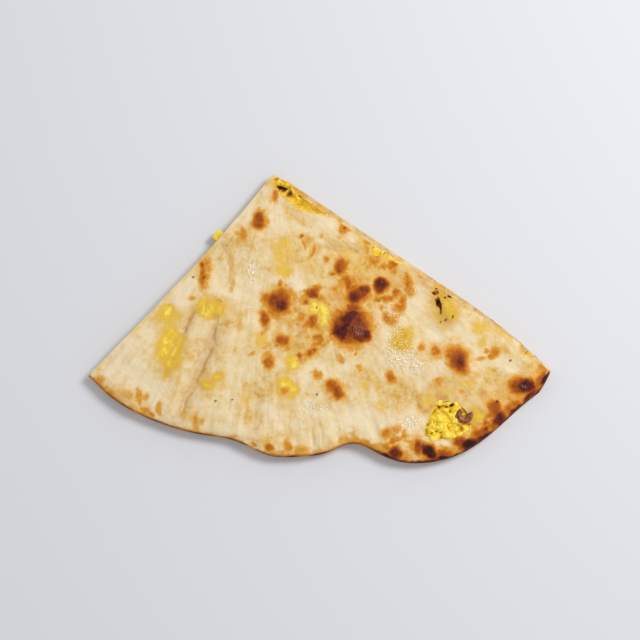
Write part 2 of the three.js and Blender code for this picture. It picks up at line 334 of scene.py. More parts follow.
# %% Blisters and folds
# Blisters: the middle's x and y, half length, half width and rise, and the turn in degrees
# where there is one.
BLISTERS = [
    (-18, 7, 5.5, 5.5, 0.9), (-26.5, 42.5, 4.5, 3.6, 0.7, 60), (9.5, 21.5, 4.5, 4, 0.8, 90),
    (19.1, 12.5, 3, 3, 1), (16, 9, 3.6, 3.4, 1.1), (26.5, 14.2, 3.6, 3.4, 1.1),
    (11, -0.4, 6.4, 3, 1.5, 60), (16.5, -6.5, 4.4, 3.8, 1.3), (-16, -10.5, 4.2, 3.4, 0.6),
    (-22.1, -19.9, 2.8, 3.8, 0.5), (6.5, -32, 4.6, 5, 0.8), (60, -19, 7.6, 5, 1.2, -55),
    (89, -29.5, 5, 4.2, 1.3), (76, -40, 4.6, 4.6, 0.9), (39, 14, 2.4, 5, 0.8), (-50, 18, 3.6, 8, 0.7),
    (47, -58, 4, 3.4, 0.9, -30), (64, -54.5, 4.4, 3, 0.8, 20), (33, -58.5, 3.6, 3.4, 0.8),
    (71.2, -49.3, 2, 2, 0.7), (30.9, -26.9, 2.6, 3, 0.5), (50.6, -15.1, 2.8, 2.4, 0.4),
    (-2.8, 10.3, 3.4, 2.8, 0.5),
]

# Folds: the line that they follow, their width, and their rise, below zero for a valley.
FOLDS = [
    ([(-45.5, -1.5), (-47, -10), (-50, -17), (-54.5, -30), (-59, -40)], 3.4, -0.8),
    ([(-53, -4), (-57, -14), (-60, -24), (-65, -38)], 4.5, 0.6),
    ([(-39, -4), (-42, -16), (-47, -28), (-50, -42)], 4.5, 0.5),
    ([(-55, 1.5), (-59.5, -6)], 1.8, -0.6),
    ([(-39.5, 31), (-22, 33), (-14, 37)], 3, 0.5),
    ([(2.5, 30.5), (16, 29)], 2, -0.5),
    ([(-27, -36), (-31, -54)], 4, -0.5),
    ([(11, -16), (20, -30)], 5, 0.5),
]
print(len(BLISTERS), "blisters and", len(FOLDS), "folds")

# %% Creases and laps
# Fine creases, cut in sharply: line, width and depth.
CREASES = [
    ([(-49.3, 8.1), (-51, 2)], 0.6, 0.45),
    ([(-55.4, 1.5), (-59.3, -5.9)], 0.7, 0.5),
    ([(-43.6, 33), (-41.4, 29.1), (-40.1, 25.6), (-39.2, 21.2), (-39, 16), (-39.4, 11.6)], 0.7, 0.3),
    ([(-75.1, -21.7), (-69.9, -18.2)], 0.7, 0.3),
    ([(-54, -15.5), (-52.3, -19.1), (-54.5, -21)], 0.7, 0.35),
    ([(-91.8, -16.9), (-93.5, -20.8)], 0.5, 0.4),
    ([(-39.2, 30.9), (-30.4, 31.3), (-22.6, 33.5), (-15.1, 37)], 0.9, 0.25),
    ([(2.4, 30.9), (6.8, 30.4), (11.2, 30.4), (16, 28.7)], 0.8, 0.35),
    ([(38.3, 19.5), (38.1, 14.5)], 0.6, 0.5),
    ([(-57, -24), (-60, -33), (-62.5, -41)], 1.0, 0.25),
    ([(21, -37.5), (30, -39)], 0.8, 0.2),
    ([(-3.2, -49.8), (-2.6, -55.5)], 0.6, 0.3),
    ([(1.4, -50.2), (1.2, -55.5)], 0.6, 0.25),
    ([(8.6, -49), (8.2, -54)], 0.6, 0.25),
]

# Where the dough laps over itself: the line, how high the dough to the left of its run stands,
# and how far from the line that side has sloped off.
LAPS = [
    ([(-45.4, 1), (-45.4, -9), (-48, -16), (-49.9, -21.2), (-54, -29.9), (-57.6, -37),
      (-60, -43)], 0.38, 7),
    ([(-54.5, 2.5), (-57.6, -3.7), (-60.5, -9)], 0.32, 4),
]
print(len(CREASES), "creases and", len(LAPS), "laps")

# %% Helpers for folds, laps and streaks
def distance_to_path(points, path):
    return nearest_on_line(points, np.array(path, float))[0]


def at_laps(points):
    """The points moved a little, so that laps run unevenly."""
    return stirred(points, 0.7, 4, 7)


def lap_height(points, path, rise, width):
    """A step up at a line, which slopes off again on the far side and runs out at both ends."""
    line = np.array(path, float)
    away, along = nearest_on_line(points, line)
    row = np.minimum(along.astype(int), len(line) - 2)
    step = line[row + 1] - line[row]
    offset = points - line[row]
    side = np.sign(step[:, 0] * offset[:, 1] - step[:, 1] * offset[:, 0])
    ends = smooth(2.5 * np.sin(np.pi * along / (len(line) - 1)))
    return rise * ends * bell(away, width) * smooth(0.5 + side * away / 2)


def round_the_tip(points):
    """Angle round the tip and distance from it, so scaled that bumps come out as streaks."""
    across, down = points[:, 0] - TIP[0], TIP[1] - points[:, 1]
    return np.stack([118 * np.arctan2(across, down), np.hypot(across, down) / 6], axis=1)


# %% Heights of the two faces
def bottom_at(points, rim):
    hollows = 0.6 * np.sin(points[:, 0] / 19 + 1) * np.sin(points[:, 1] / 15 + 2)
    return np.maximum(0, hollows) + 0.9 * bell(rim, 6)


def broad_top_at(points, left, right, rim):
    """The upper face without its relief. left, right and rim are distances to the sides."""
    x, y = points[:, 0], points[:, 1]
    lumps = 0.3 * np.sin(x / 13 + 0.6) * np.cos(y / 11) + 0.25 * np.sin((x + 1.4 * y) / 9)
    pressed = CUT_PRESS * (bell(left, 6) + bell(right, 6))
    return THICKNESS + lumps - pressed - 0.5 * bell(rim, 3.5) - 0.4 * bell(rim, 1.2)


def relief_at(points, rim):
    """Blisters, folds, creases and the dough's own unevenness."""
    rise = np.zeros(len(points))
    wavering = stirred(points, 0.5, 3, 5)
    for share, height in each_oval(points, BLISTERS):
        rise += height * bell(share, 0.8)
    for path, width, height in FOLDS:
        rise += height * bell(distance_to_path(points, path), width)
    for path, width, depth in CREASES:
        rise -= depth * bell(distance_to_path(wavering, path), width)
    for path, height, width in LAPS:
        rise += lap_height(at_laps(points), path, height, width)
    radial = round_the_tip(points)
    stretched = bumps(radial, 2.6, 31) * (0.3 + smooth(1 - rim / 40))
    stretched = stretched + 0.5 * bumps(radial, 1.1, 32)
    uneven = 0.16 * bumps(points, 7, 11) + 0.15 * bumps(points, 3, 12)
    uneven = uneven + 0.08 * bumps(points, 1.4, 13)
    return rise + uneven + 0.23 * stretched


def top_at(points, left, right, rim):
    """The finished upper face. What stands higher than HIGH loses a part of that rise."""
    top = broad_top_at(points, left, right, rim) + relief_at(points, rim)
    return top - PRESSED_SHARE * np.maximum(0, top - HIGH)


far = np.full(1, 50.0)
print("its middle is", top_at(np.zeros((1, 2)), far, far, far).round(1), "mm high")

# %% [markdown]
# ## A flat wedge to start from
#
# Each layer of the bread starts as a flat sheet of small squares. A grid is added over the
# wedge's box, the faces outside the outline are picked by their place and deleted, and the
# stepped edge that is left is pulled onto the outline. The squares next to it are evened out,
# so that the surface shades smoothly right up to the edge. Cutting the grid with a boolean
# would be quicker, but would leave slivers along the outline that show as scratches.

# %% Picked faces and neighbours
def face_middles(piece):
    return read_places(piece.data.polygons, "center")


def pick_faces(piece, chosen):
    """Goes to edit mode with just the chosen faces selected."""
    pick(piece)
    bpy.context.tool_settings.mesh_select_mode = (False, False, True)
    piece.data.vertices.foreach_set("select", np.zeros(len(piece.data.vertices), bool))
    piece.data.edges.foreach_set("select", np.zeros(len(piece.data.edges), bool))
    piece.data.polygons.foreach_set("select", chosen)
    bpy.ops.object.mode_set(mode="EDIT")


def edge_ends(piece):
    """The numbers of the vertices at each edge's first end, and at its second end."""
    ends = np.empty(len(piece.data.edges) * 2, int)
    piece.data.edges.foreach_get("vertices", ends)
    return ends.reshape(-1, 2).T


def averager(piece):
    """A function that gives each vertex the average of its neighbours' values."""
    first, second = edge_ends(piece)
    size = len(piece.data.vertices)
    total = np.bincount(first, minlength=size) + np.bincount(second, minlength=size)

    def average(values):
        summed = np.bincount(first, values[second], size)
        summed += np.bincount(second, values[first], size)
        return summed / total

    return average


# %% A stepped edge, pulled onto the outline
def open_edge(piece):
    """The vertices along a sheet's open edge, in order."""
    uses = np.empty(len(piece.data.loops), int)
    piece.data.loops.foreach_get("edge_index", uses)
    single = np.bincount(uses, minlength=len(piece.data.edges)) == 1
    nearby = {}
    for a, b in edge_ends(piece).T[single]:
        nearby.setdefault(a, []).append(b)
        nearby.setdefault(b, []).append(a)
    loop = [min(nearby)]
    while True:
        following = [v for v in nearby[loop[-1]] if len(loop) < 2 or v != loop[-2]]
        if following[0] == loop[0]:
            return np.array(loop)
        loop.append(following[0])


def pin_corners(edge, line, sides):
    """The edge's vertex nearest to each corner of the outline, and that corner's row."""
    rows = [0, len(sides[0]) - 1, len(sides[0]) + len(sides[1]) - 2]
    return {int(np.argmin(distance_from(edge, line[row]))): row for row in rows}


def even_spacing(along, pinned, rounds=12):
    """Evens out places along the outline. Those of the corners stay on their rows."""
    for _ in range(rounds):
        for i, row in pinned.items():
            along[i] = row
        along[1:-1] = (along[:-2] + 2 * along[1:-1] + along[2:]) / 4
    for i, row in pinned.items():
        along[i] = row
    return along


def pull_to_outline(piece, sides):
    """Moves a sheet's open edge onto the outline and evens out the squares next to it."""
    line = np.concatenate([sides[0], sides[1][1:], sides[2][1:]])
    length = len(line) - 1
    places = corners(piece)
    loop = open_edge(piece)
    _, along = nearest_on_line(places[loop, :2], line)
    nearest = pin_corners(places[loop, :2], line, sides)
    # The edge is put in order from the tip on, and in the outline's own direction.
    order = np.roll(np.arange(len(loop)), -min(nearest, key=nearest.get))
    if (along[order[5]] - along[order[0]]) % length > length / 2:
        order = np.roll(order[::-1], 1)
    pinned = {int(np.where(order == i)[0][0]): row for i, row in nearest.items()}
    along = along[order]
    along[0] = 0
    along = even_spacing(np.append(along, length), pinned)
    ordered = loop[order]
    rows = np.arange(len(line))
    for axis in (0, 1):
        places[ordered, axis] = np.interp(along[:-1], rows, line[:, axis])
    return even_out(piece, places, ordered)


def even_out(piece, places, held, rounds=25, rings=6):
    """Moves the vertices near the held ones to the middle of their neighbours."""
    first, second = edge_ends(piece)
    average = averager(piece)
    near = np.zeros(len(places), bool)
    near[held] = True
    for _ in range(rings):
        touched = near[first] | near[second]
        near[first[touched]] = True
        near[second[touched]] = True
    near[held] = False
    for _ in range(rounds):
        for axis in (0, 1):
            places[near, axis] = average(places[:, axis])[near]
    return places


# %% A flat sheet within an outline
def flat_wedge(name, cell, sides):
    """A flat sheet of squares of about one cell within an outline."""
    line = np.concatenate(sides)
    low, high = line.min(axis=0) - cell, line.max(axis=0) + cell
    columns, rows = np.ceil((high - low) / cell).astype(int)
    deselect_all()
    middle = (low + high) / 2 * MM
    bpy.ops.mesh.primitive_grid_add(
        x_subdivisions=columns, y_subdivisions=rows, size=1, location=(*middle, 0))
    sheet = bpy.context.object
    sheet.name = name
    bpy.ops.transform.resize(value=(columns * cell * MM, rows * cell * MM, 1))
    bpy.ops.object.transform_apply(location=True, rotation=True, scale=True)
    pick_faces(sheet, ~inside(face_middles(sheet)[:, :2], line))
    bpy.ops.mesh.delete(type="FACE")
    stop_editing()
    put_corners(sheet, pull_to_outline(sheet, sides))
    return sheet


# %% [markdown]
# ## The bread's body
#
# The upper face has fine squares, because it carries the relief and the browning, and the
# underside has coarser ones. The upper sheet's open edge is extruded down in small steps,
# which gives the wall, and its last edge is bridged to the underside's edge. The block is
# still straight: each vertex's height is then only a share of the way up, and the formulas
# turn that share into its real height and push the wall in where it leans or rounds.

# %% A straight block in the wedge's outline
CELL_TOP = 0.52
CELL_UNDER = 1.1
WALL_STEPS = 9
BLOCK = 9.0


def select_open_edges():
    bpy.context.tool_settings.mesh_select_mode = (False, True, False)
    bpy.ops.mesh.select_all(action="DESELECT")
    bpy.ops.mesh.select_non_manifold(
        extend=False, use_wire=False, use_boundary=True, use_multi_face=False,
        use_non_contiguous=False, use_verts=False)


def straight_block(name, cell_top, cell_under, steps, sides):
    """A closed block: a fine upper face at height BLOCK and a coarse one at height 0."""
    upper = flat_wedge(name, cell_top, sides)
    lower = flat_wedge(name + "_underside", cell_under, sides)
    places = corners(upper)
    places[:, 2] = BLOCK
    put_corners(upper, places)
    pick(upper)
    start_editing()
    select_open_edges()
    step = {"value": (0, 0, -BLOCK / steps * MM)}
    for _ in range(steps - 1):
        bpy.ops.mesh.extrude_region_move(TRANSFORM_OT_translate=step)
    stop_editing()
    lower.select_set(True)
    bpy.ops.object.join()
    start_editing()
    select_open_edges()
    bpy.ops.mesh.bridge_edge_loops()
    stop_editing(outward=True)
    return upper


bread = straight_block("kulcha_bread", CELL_TOP, CELL_UNDER, WALL_STEPS, outline())
print("straight block,", count(bread))

# %% [markdown]
# The right cut is stepped: the lower sheet reaches 2.3 mm further out than the upper one. From
# above this ledge is a pale strip; the filling ends just behind the upper sheet's edge and
# shows from the side. The left cut is nearly upright. The rim is round, widest a little below
# half height.

# %% Ledge and nose
# How far in from a side its wall's lean still moves the surface.
LEAN_REACH = 10
# The ledge: its width, how far from the tip it is fully wide, and from which x on, over which
# length and by which share it narrows again.
LEDGE = 2.3
LEDGE_FULL_FROM = 14
LEDGE_NARROWS = (60, 30, 0.55)
# The step up from the ledge: from which share of the height on, and over which share of it.
STEP_FROM = 0.28
STEP_OVER = 0.3
# The share of the ledge's width by which the wall leans in below the step.
LEAN_BELOW = 0.15
# How far the left cut's wall lies in at its foot, and how much further at its top.
LEFT_FOOT = 0.1
LEFT_LEAN = 0.4
# The rim's nose: its share of the height, and how far the wall lies in above and below it.
NOSE_HEIGHT = 0.45
NOSE_TOP = 1.1
NOSE_FOOT = 1.3
NOSE_POWER = 2.3


def rim_normals(rows):
    """The direction straight out of the rim at each place along it."""
    steps = np.gradient(RIM_SIDE, axis=0)
    normals = np.stack([steps[:, 1], -steps[:, 0]], axis=1)
    normals /= np.linalg.norm(normals, axis=1)[:, None]
    index = np.arange(len(RIM_SIDE))
    return np.stack([np.interp(rows, index, normals[:, axis]) for axis in (0, 1)], axis=1)


def side_distances(points):
    left, _ = nearest_on_line(points, LEFT_SIDE)
    rim, along = nearest_on_line(points, RIM_SIDE)
    right, _ = nearest_on_line(points, RIGHT_SIDE)
    return left, rim, right, along


def round_nose(share):
    """How far the rim's wall lies in, at a share of its height."""
    above = NOSE_TOP * (np.clip(share - NOSE_HEIGHT, 0, 1) / (1 - NOSE_HEIGHT)) ** NOSE_POWER
    below = NOSE_FOOT * (np.clip(NOSE_HEIGHT - share, 0, 1) / NOSE_HEIGHT) ** NOSE_POWER
    return above + below


def ledge_width(points):
    start, length, lost = LEDGE_NARROWS
    grown = smooth(distance_from(points, TIP) / LEDGE_FULL_FROM)
    return LEDGE * grown * (1 - lost * ramp_up(points[:, 0], start, length))


# %% From the straight block to the bread's form
def form_bread(places):
    points = places[:, :2]
    share = places[:, 2] / BLOCK
    left, rim, right, along = side_distances(points)
    height = mix(bottom_at(points, rim), top_at(points, left, right, rim), share)
    ragged = 0.25 * bumps(points, 2.2, 41) + 0.15 * bumps(points + share[:, None] * 9, 0.9, 42)

    def fade(distance):
        return np.clip(1 - distance / LEAN_REACH, 0, 1) ** 2

    walls = np.sin(np.pi * np.clip(share, 0, 1))
    move = -OUT_LEFT * ((LEFT_FOOT + LEFT_LEAN * share + ragged * walls) * fade(left))[:, None]
    step = (1 - LEAN_BELOW) * ramp_up(share, STEP_FROM, STEP_OVER)
    lean = ledge_width(points) * (LEAN_BELOW * share / STEP_FROM + step)
    move -= OUT_RIGHT * ((0.1 + lean + ragged * walls) * fade(right))[:, None]
    move -= rim_normals(along) * (round_nose(share) * fade(rim))[:, None]
    return np.column_stack([points + move, height])


put_corners(bread, form_bread(corners(bread)))
print("the bread stands", round(corners(bread)[:, 2].max(), 2), "mm high")

# %% [markdown]
# ## The pocket and the torn places
#
# The layer of filling lies in a pocket that is open at both cuts and ends before the rim. A
# cutter of that form is made in the same way as the bread, only coarser and a little longer
# than the cuts, and a boolean takes it out. The upper sheet is torn open in a few places:
# each gets a ragged plug, made from a circle, as a cutter.

# %% Boolean cuts
def change(piece, kind, **settings):
    """Applies a modifier to the active piece."""
    modifier = piece.modifiers.new(kind, kind)
    for name, value in settings.items():
        setattr(modifier, name, value)
    bpy.ops.object.modifier_apply(modifier=modifier.name)


def cut(piece, cutter, operation="DIFFERENCE"):
    """Cuts, joins or intersects a piece with another closed mesh, which is then deleted."""
    pick(piece)
    change(piece, "BOOLEAN", operation=operation, solver="MANIFOLD", object=cutter)
    bpy.data.objects.remove(cutter)


# %% Pocket
CELL_LAYER = 1.9
LAYER_SPACING = 2
PAST_CUTS = 4


def layer_faces(points, gap):
    """Heights of the roof and the floor of the layer between the sheets, set in by gap."""
    left, rim, right, _ = side_distances(points)
    thin = 0.9 * smooth(1 - (rim - BAKED_RIM) / 14)
    roof = broad_top_at(points, left, right, rim) - TOP_SHEET - gap - thin
    floor = bottom_at(points, rim) + BOTTOM_SHEET + gap + thin / 2
    ragged = 0.22 * bumps(points, 2.4, 51)
    return roof + ragged, floor - 0.8 * ragged


def layer_block(name, cell, sides, gap):
    """A closed block between the two sheets, which stays gap millimetres away from them."""
    block = straight_block(name, cell, cell, 2, sides)
    places = corners(block)
    roof, floor = layer_faces(places[:, :2], gap)
    places[:, 2] = mix(floor, roof, places[:, 2] / BLOCK)
    put_corners(block, places)
    return block


past = outline(-PAST_CUTS, -PAST_CUTS, BAKED_RIM, LAYER_SPACING)
pocket = layer_block("pocket", CELL_LAYER, past, 0)
print("cutter,", count(pocket))
cut(bread, pocket)
print("with the pocket,", count(bread))

# %% Torn places
# Heights at which tears, heaps and slots start, and one that is above everything.
TEAR_FLOOR = BOTTOM_SHEET + 1.6
HEAP_FLOOR = BOTTOM_SHEET + 1.2
SLOT_FLOOR = BOTTOM_SHEET + 0.6
ABOVE_ALL = THICKNESS + 5
# How much wider tears are at the top, as a share.
TEAR_FLARE = 0.06
SLIT_FLARE = 0.3

# Along the right cut: middle, half length and half width, turn in degrees and raggedness.
CUT_TEARS = [
    ((-7.5, 55.0), (14.5, 6.0), -35.4, 0.06),
    ((26.0, 29.9), (2.8, 3.0), -35.4, 0.05),
    ((33.4, 25.9), (4.0, 1.5), -35.4, 0.05),
    ((91.2, -14.5), (4.0, 2.6), -42, 0.04),
]

# The slit on the right half, in the same way, and how many points its edge has.
SLIT = ((52.1, 6.1), (2.5, 1.1), -70, 0.12)
SLIT_POINTS = 40

# The largest tear, as a few points round its edge.
LARGE_TEAR = [
    (46.4, -51.4), (46.9, -47.6), (48.4, -44.2), (49.8, -40.6), (50.6, -37.9), (55.0, -37.1),
    (60.0, -38.6), (63.4, -41.6), (64.9, -45.6), (63.2, -50.0), (57.6, -52.6), (52.2, -52.6),
]
print(1 + len(CUT_TEARS), "tears and a slit")

# %% Edges of the torn places
def oval_edge(at, half, turn, ragged, count=96):
    """The ragged edge of an oval tear."""
    angle = np.linspace(0, 2 * math.pi, count, endpoint=False)
    nibbled = 0.05 * np.sin(9 * angle + 2) + 0.035 * np.sin(17 * angle) + 0.02 * np.sin(31 * angle)
    edge = 1 + ragged * (np.sin(3 * angle + 1) + np.cos(5 * angle)) + nibbled * min(1, 4 / half[1])
    cos, sin = math.cos(math.radians(turn)), math.sin(math.radians(turn))
    x, y = half[0] * edge * np.cos(angle), half[1] * edge * np.sin(angle)
    return np.stack([at[0] + x * cos - y * sin, at[1] + x * sin + y * cos], axis=1)


def curve_through(knots, count=120):
    """A smooth closed curve through a few points."""
    knots = np.array(knots, float)
    along = np.linspace(0, len(knots), count, endpoint=False)
    row = np.floor(along).astype(int)
    share = (along - row)[:, None]
    before, start, end, after = (knots[(row + shift) % len(knots)] for shift in (-1, 0, 1, 2))
    bend = (2 * before - 5 * start + 4 * end - after) * share**2
    twist = (3 * start - before - 3 * end + after) * share**3
    return 0.5 * (2 * start + (end - before) * share + bend + twist)


# %% Plugs that open the upper sheet
def plug(edge, low, high, flare=0.0):
    """A closed block within an edge. flare is how much wider it is at the top, as a share."""
    deselect_all()
    bpy.ops.mesh.primitive_circle_add(vertices=len(edge), radius=MM, fill_type="NGON")
    piece = bpy.context.object
    put_corners(piece, np.column_stack([edge, np.full(len(edge), low)]))
    start_editing()
    bpy.ops.mesh.extrude_region_move(TRANSFORM_OT_translate={"value": (0, 0, (high - low) * MM)})
    bpy.ops.transform.resize(value=(1 + flare, 1 + flare, 1))
    stop_editing(outward=True)
    return piece


large_edge = stirred(curve_through(LARGE_TEAR), 0.35, 1.1, 45)
cut_edges = [oval_edge(*tear) for tear in CUT_TEARS]
tear_edges = [large_edge, *cut_edges]
for edge in tear_edges:
    cut(bread, plug(edge, TEAR_FLOOR, ABOVE_ALL, TEAR_FLARE))
cut(bread, plug(oval_edge(*SLIT, SLIT_POINTS), TEAR_FLOOR, ABOVE_ALL, SLIT_FLARE))
print("with the tears,", count(bread))

# %% [markdown]
# ## The filling
#
# The filling is a moist mash of crumbs. It shows only where the bread is torn, and between the
# two sheets at the cuts. So a plain layer lies inside the bread, and crumbs are scattered where
# it shows. A few crumbs are modelled, copied with their size and turn varied, and the heap is
# fused by a voxel remesh, which leaves the creases between the crumbs. Crumbs made as a bumpy
# texture would be quicker, but would look like wet sand at the cuts.

# %% A few crumbs
VOXEL = 0.34
CRUMB_KINDS = 4
CRUMB_ROUGHNESS = 0.22
CRUMB_TILT = 0.4
CRUMB_STRETCH = (0.8, 1.3)
random = np.random.default_rng(7)


def make_crumb(seed):
    deselect_all()
    bpy.ops.mesh.primitive_ico_sphere_add(subdivisions=2, radius=MM)
    piece = bpy.context.object
    start_editing()
    bpy.ops.transform.vertex_random(offset=CRUMB_ROUGHNESS * MM, seed=seed)
    stop_editing()
    return piece


crumbs = [make_crumb(seed) for seed in range(CRUMB_KINDS)]
print(len(crumbs), "kinds of crumb, each like", count(crumbs[0]))

# %% Heaps of crumbs
def scatter(places, smallest, largest, flatness=0.75):
    """Copies of the crumbs at the given places, each with its own size and turn."""
    heap = []
    for x, y, z in places:
        piece = crumbs[random.integers(len(crumbs))].copy()
        piece.data = piece.data.copy()
        size = random.uniform(smallest, largest)
        turn = Matrix.Rotation(random.uniform(0, 6.28), 4, "Z")
        tilt = Matrix.Rotation(random.uniform(-CRUMB_TILT, CRUMB_TILT), 4, "X")
        long = size * random.uniform(*CRUMB_STRETCH)
        shape = turn @ tilt @ Matrix.Diagonal((long, size, size * flatness, 1))
        piece.matrix_world = Matrix.Translation(Vector((x, y, z)) * MM) @ shape
        bpy.context.scene.collection.objects.link(piece)
        heap.append(piece)
    return heap


def fuse(name, heap):
    """Joins a heap of overlapping closed shapes into one skin."""
    deselect_all()
    for piece in heap:
        piece.select_set(True)
    bpy.context.view_layer.objects.active = heap[0]
    bpy.ops.object.join()
    fused = bpy.context.object
    fused.name = name
    bpy.ops.object.transform_apply(location=True, rotation=True, scale=True)
    change(fused, "REMESH", mode="VOXEL", voxel_size=VOXEL * MM)
    return fused


# %% Crumbs along the two cuts
# Shares of the layer's height at which they lie, how far behind the face, and their radius.
CRUMB_LEVELS = (0.15, 0.5, 0.85)
CRUMB_DEPTH = (0.35, 1.35)
CRUMB_SIZES = (0.65, 1.25)
# How far in from each cut's outline the filling ends.
LEFT_RECESS = 0.3
RIGHT_RECESS = 3.0


def along_cut(side, outward, lean_low, lean_high, spacing=1.15):
    """Places for crumbs just behind a cut's face, between the two sheets."""
    steps = np.hypot(*np.diff(side, axis=0).T)
    run = np.concatenate([[0], np.cumsum(steps)])
    onward = np.array([-outward[1], outward[0]])
    places = []
    for distance in np.arange(1.5, run[-1] - BAKED_RIM, spacing):
        point = np.array([np.interp(distance, run, side[:, axis]) for axis in (0, 1)])
        roof, floor = layer_faces(point[None], 0)
        for level in CRUMB_LEVELS:
            height = mix(floor[0], roof[0], level + random.uniform(-0.12, 0.12))
            lean = mix(lean_low, lean_high, height / THICKNESS)
            depth = lean + random.uniform(*CRUMB_DEPTH)
            shift = random.uniform(-0.5, 0.5) * onward
            x, y = point - outward * depth + shift
            places.append((x, y, height))
    return places


left_places = along_cut(LEFT_SIDE, OUT_LEFT, 0.1, 0.5)
right_places = along_cut(RIGHT_SIDE[::-1], OUT_RIGHT, 1.9, 2.3)
edge_filling = fuse("edge_filling", scatter(left_places + right_places, *CRUMB_SIZES))
between = outline(LEFT_RECESS, 1, BAKED_RIM, LAYER_SPACING)
room = layer_block("room", CELL_LAYER, between, 0.03)
cut(edge_filling, room, "INTERSECT")
print("crumbs along the cuts:", len(left_places) + len(right_places), "-", count(edge_filling))

# %% [markdown]
# In each torn place the filling is a lumpy heap: a plug of the tear's own outline with crumbs
# all over its top. In the largest tear it wells up above the bread. Where the upper sheet is
# torn off along the right cut, it lies low and ends well short of the edge, so that the lower
# sheet shows as a pale strip. The fused heap is smoothed, because the mash is moist and its
# crumbs run together.

# %% A heap for one torn place
# How high the heaps stand against the bread, and how much of that is crumbs.
LARGE_RISE = 0.5
CUT_RISE = -2.2
CRUMB_COVER = 1.3
# Dark slots in the heap at the tip, in the same way as the tears.
TIP_SLOTS = [
    ((-16.6, 57.7), (2.4, 0.55), -24, 0.15),
    ((-13.6, 56.0), (1.5, 0.5), -36, 0.15),
]


def inner_depth(points, edge):
    """How far inside a closed edge the points lie; below zero outside it."""
    away, _ = nearest_on_line(points, np.concatenate([edge, edge[:1]]))
    return np.where(inside(points, edge), away, -away)


def heap_in_tear(edge, rise, spacing, smallest, largest, margin):
    """A block that fills the tear and crumbs over it, which start at margin inside its edge."""
    block_high = THICKNESS + rise - CRUMB_COVER
    middle = edge.mean(axis=0)
    block = plug(middle + (edge - middle) * 1.02, HEAP_FLOOR, block_high)
    low, high = edge.min(axis=0), edge.max(axis=0)
    x, y = np.meshgrid(np.arange(low[0], high[0], spacing), np.arange(low[1], high[1], spacing))
    points = np.column_stack([x.ravel(), y.ravel()])
    points = points + random.uniform(-0.5, 0.5, points.shape) * spacing
    depth = inner_depth(points, edge)
    points, depth = points[depth > margin], depth[depth > margin]
    height = block_high + 0.45 - 0.5 * bell(depth, 1.8) + random.uniform(-0.4, 0.4, len(points))
    return [block] + scatter(np.column_stack([points, height]), smallest, largest)


# %% The block that juts out of the left cut
# Its middle, its size and its turn in degrees.
LOOSE_BLOCK = ((-44.2, 36), (5, 5, 2.4), 48)


def metres(*place):
    return tuple(part * MM for part in place)


def loose_block():
    at, size, turn = LOOSE_BLOCK
    deselect_all()
    middle = metres(*at, SLOT_FLOOR + size[2] / 2)
    bpy.ops.mesh.primitive_cube_add(size=1, location=middle)
    piece = bpy.context.object
    start_editing()
    bpy.ops.transform.resize(value=[side * MM for side in size])
    bpy.ops.transform.rotate(value=-math.radians(turn), orient_axis="Z", center_override=middle)
    bpy.ops.mesh.bevel(offset=0.6 * MM, segments=2)
    bpy.ops.mesh.subdivide(number_cuts=2)
    bpy.ops.transform.vertex_random(offset=0.12 * MM, seed=3)
    stop_editing()
    return piece


# %% Softening, trimming and crumpling
def soften(piece, rounds):
    """Lets the crumbs of a fused heap run together."""
    change(piece, "SMOOTH", factor=0.5, iterations=rounds)


STRIP_OUTSIDE = 8
STRIP_LOW = -2
STRIP_HIGH = THICKNESS + 6


def strip_along(side, outward, inset, ragged, seed, at_tip=None):
    """A tall block that reaches from outside a cut to inset millimetres inside it.

    at_tip is its reach near the tip, where that is another one."""
    ends = np.array([side[0] + 4 * (side[0] - side[5]), side[-1] + 4 * (side[-1] - side[-6])])
    line = np.concatenate([ends[:1], side[::2], ends[1:]])
    depth = np.full(len(line), inset)
    if at_tip is not None:
        depth = mix(at_tip, inset, ramp_up(distance_from(line, TIP), 9, 5))
    depth = depth + ragged * bumps(line, 2.2, seed) + 0.5 * ragged * bumps(line, 0.9, seed + 1)
    inner = line - outward * depth[:, None]
    outer = line + outward * STRIP_OUTSIDE
    return plug(np.concatenate([outer, inner[::-1]]), STRIP_LOW, STRIP_HIGH)


def crumple(piece, depth, cell, seed):
    """Presses creases into the top of a heap, where random bumps change from up to down."""
    places = corners(piece)
    moved = np.column_stack([stirred(places, 0.5 * cell, 1.4 * cell, seed), places[:, 2]])
    creases = 1 - smooth(np.abs(bumps(moved, cell, seed + 2)) / 0.42)
    places[:, 2] -= depth * creases * smooth((places[:, 2] - 5) / 1.5)
    put_corners(piece, places)


# %% Heaps in the torn places
large_heap = fuse("large_heap", heap_in_tear(large_edge, LARGE_RISE, 2.1, 1.0, 2.6, -0.2))
soften(large_heap, 4)
crumple(large_heap, 0.4, 2.1, 101)
crumple(large_heap, 0.16, 1.1, 105)
low_heaps = []
for edge in cut_edges:
    low_heaps += heap_in_tear(edge, CUT_RISE, 1.2, 0.6, 1.3, -0.3)
filling = fuse("kulcha_filling", low_heaps)
cut(filling, strip_along(RIGHT_SIDE[-35:], OUT_RIGHT, 2.9, 0.5, 111, 0.9))
cut(filling, strip_along(LEFT_SIDE[:20], OUT_LEFT, 1.6, 0.3, 113))
for slot in TIP_SLOTS:
    cut(filling, plug(oval_edge(*slot, SLIT_POINTS), SLOT_FLOOR, ABOVE_ALL))
soften(filling, 1)
cut(filling, large_heap, "UNION")
cut(filling, fuse("loose_block", [loose_block()]), "UNION")
print("heaps:", count(filling))

# %% The whole filling
core = layer_block("core", 2.4, outline(0.6, 1.5, BAKED_RIM + 1, LAYER_SPACING), 0.1)
cut(filling, edge_filling, "UNION")
cut(filling, core, "UNION")
cut(filling, strip_along(RIGHT_SIDE, OUT_RIGHT, RIGHT_RECESS, 0.3, 115, 0.8))
print("whole filling,", count(filling))
for piece in crumbs:
    bpy.data.objects.remove(piece)

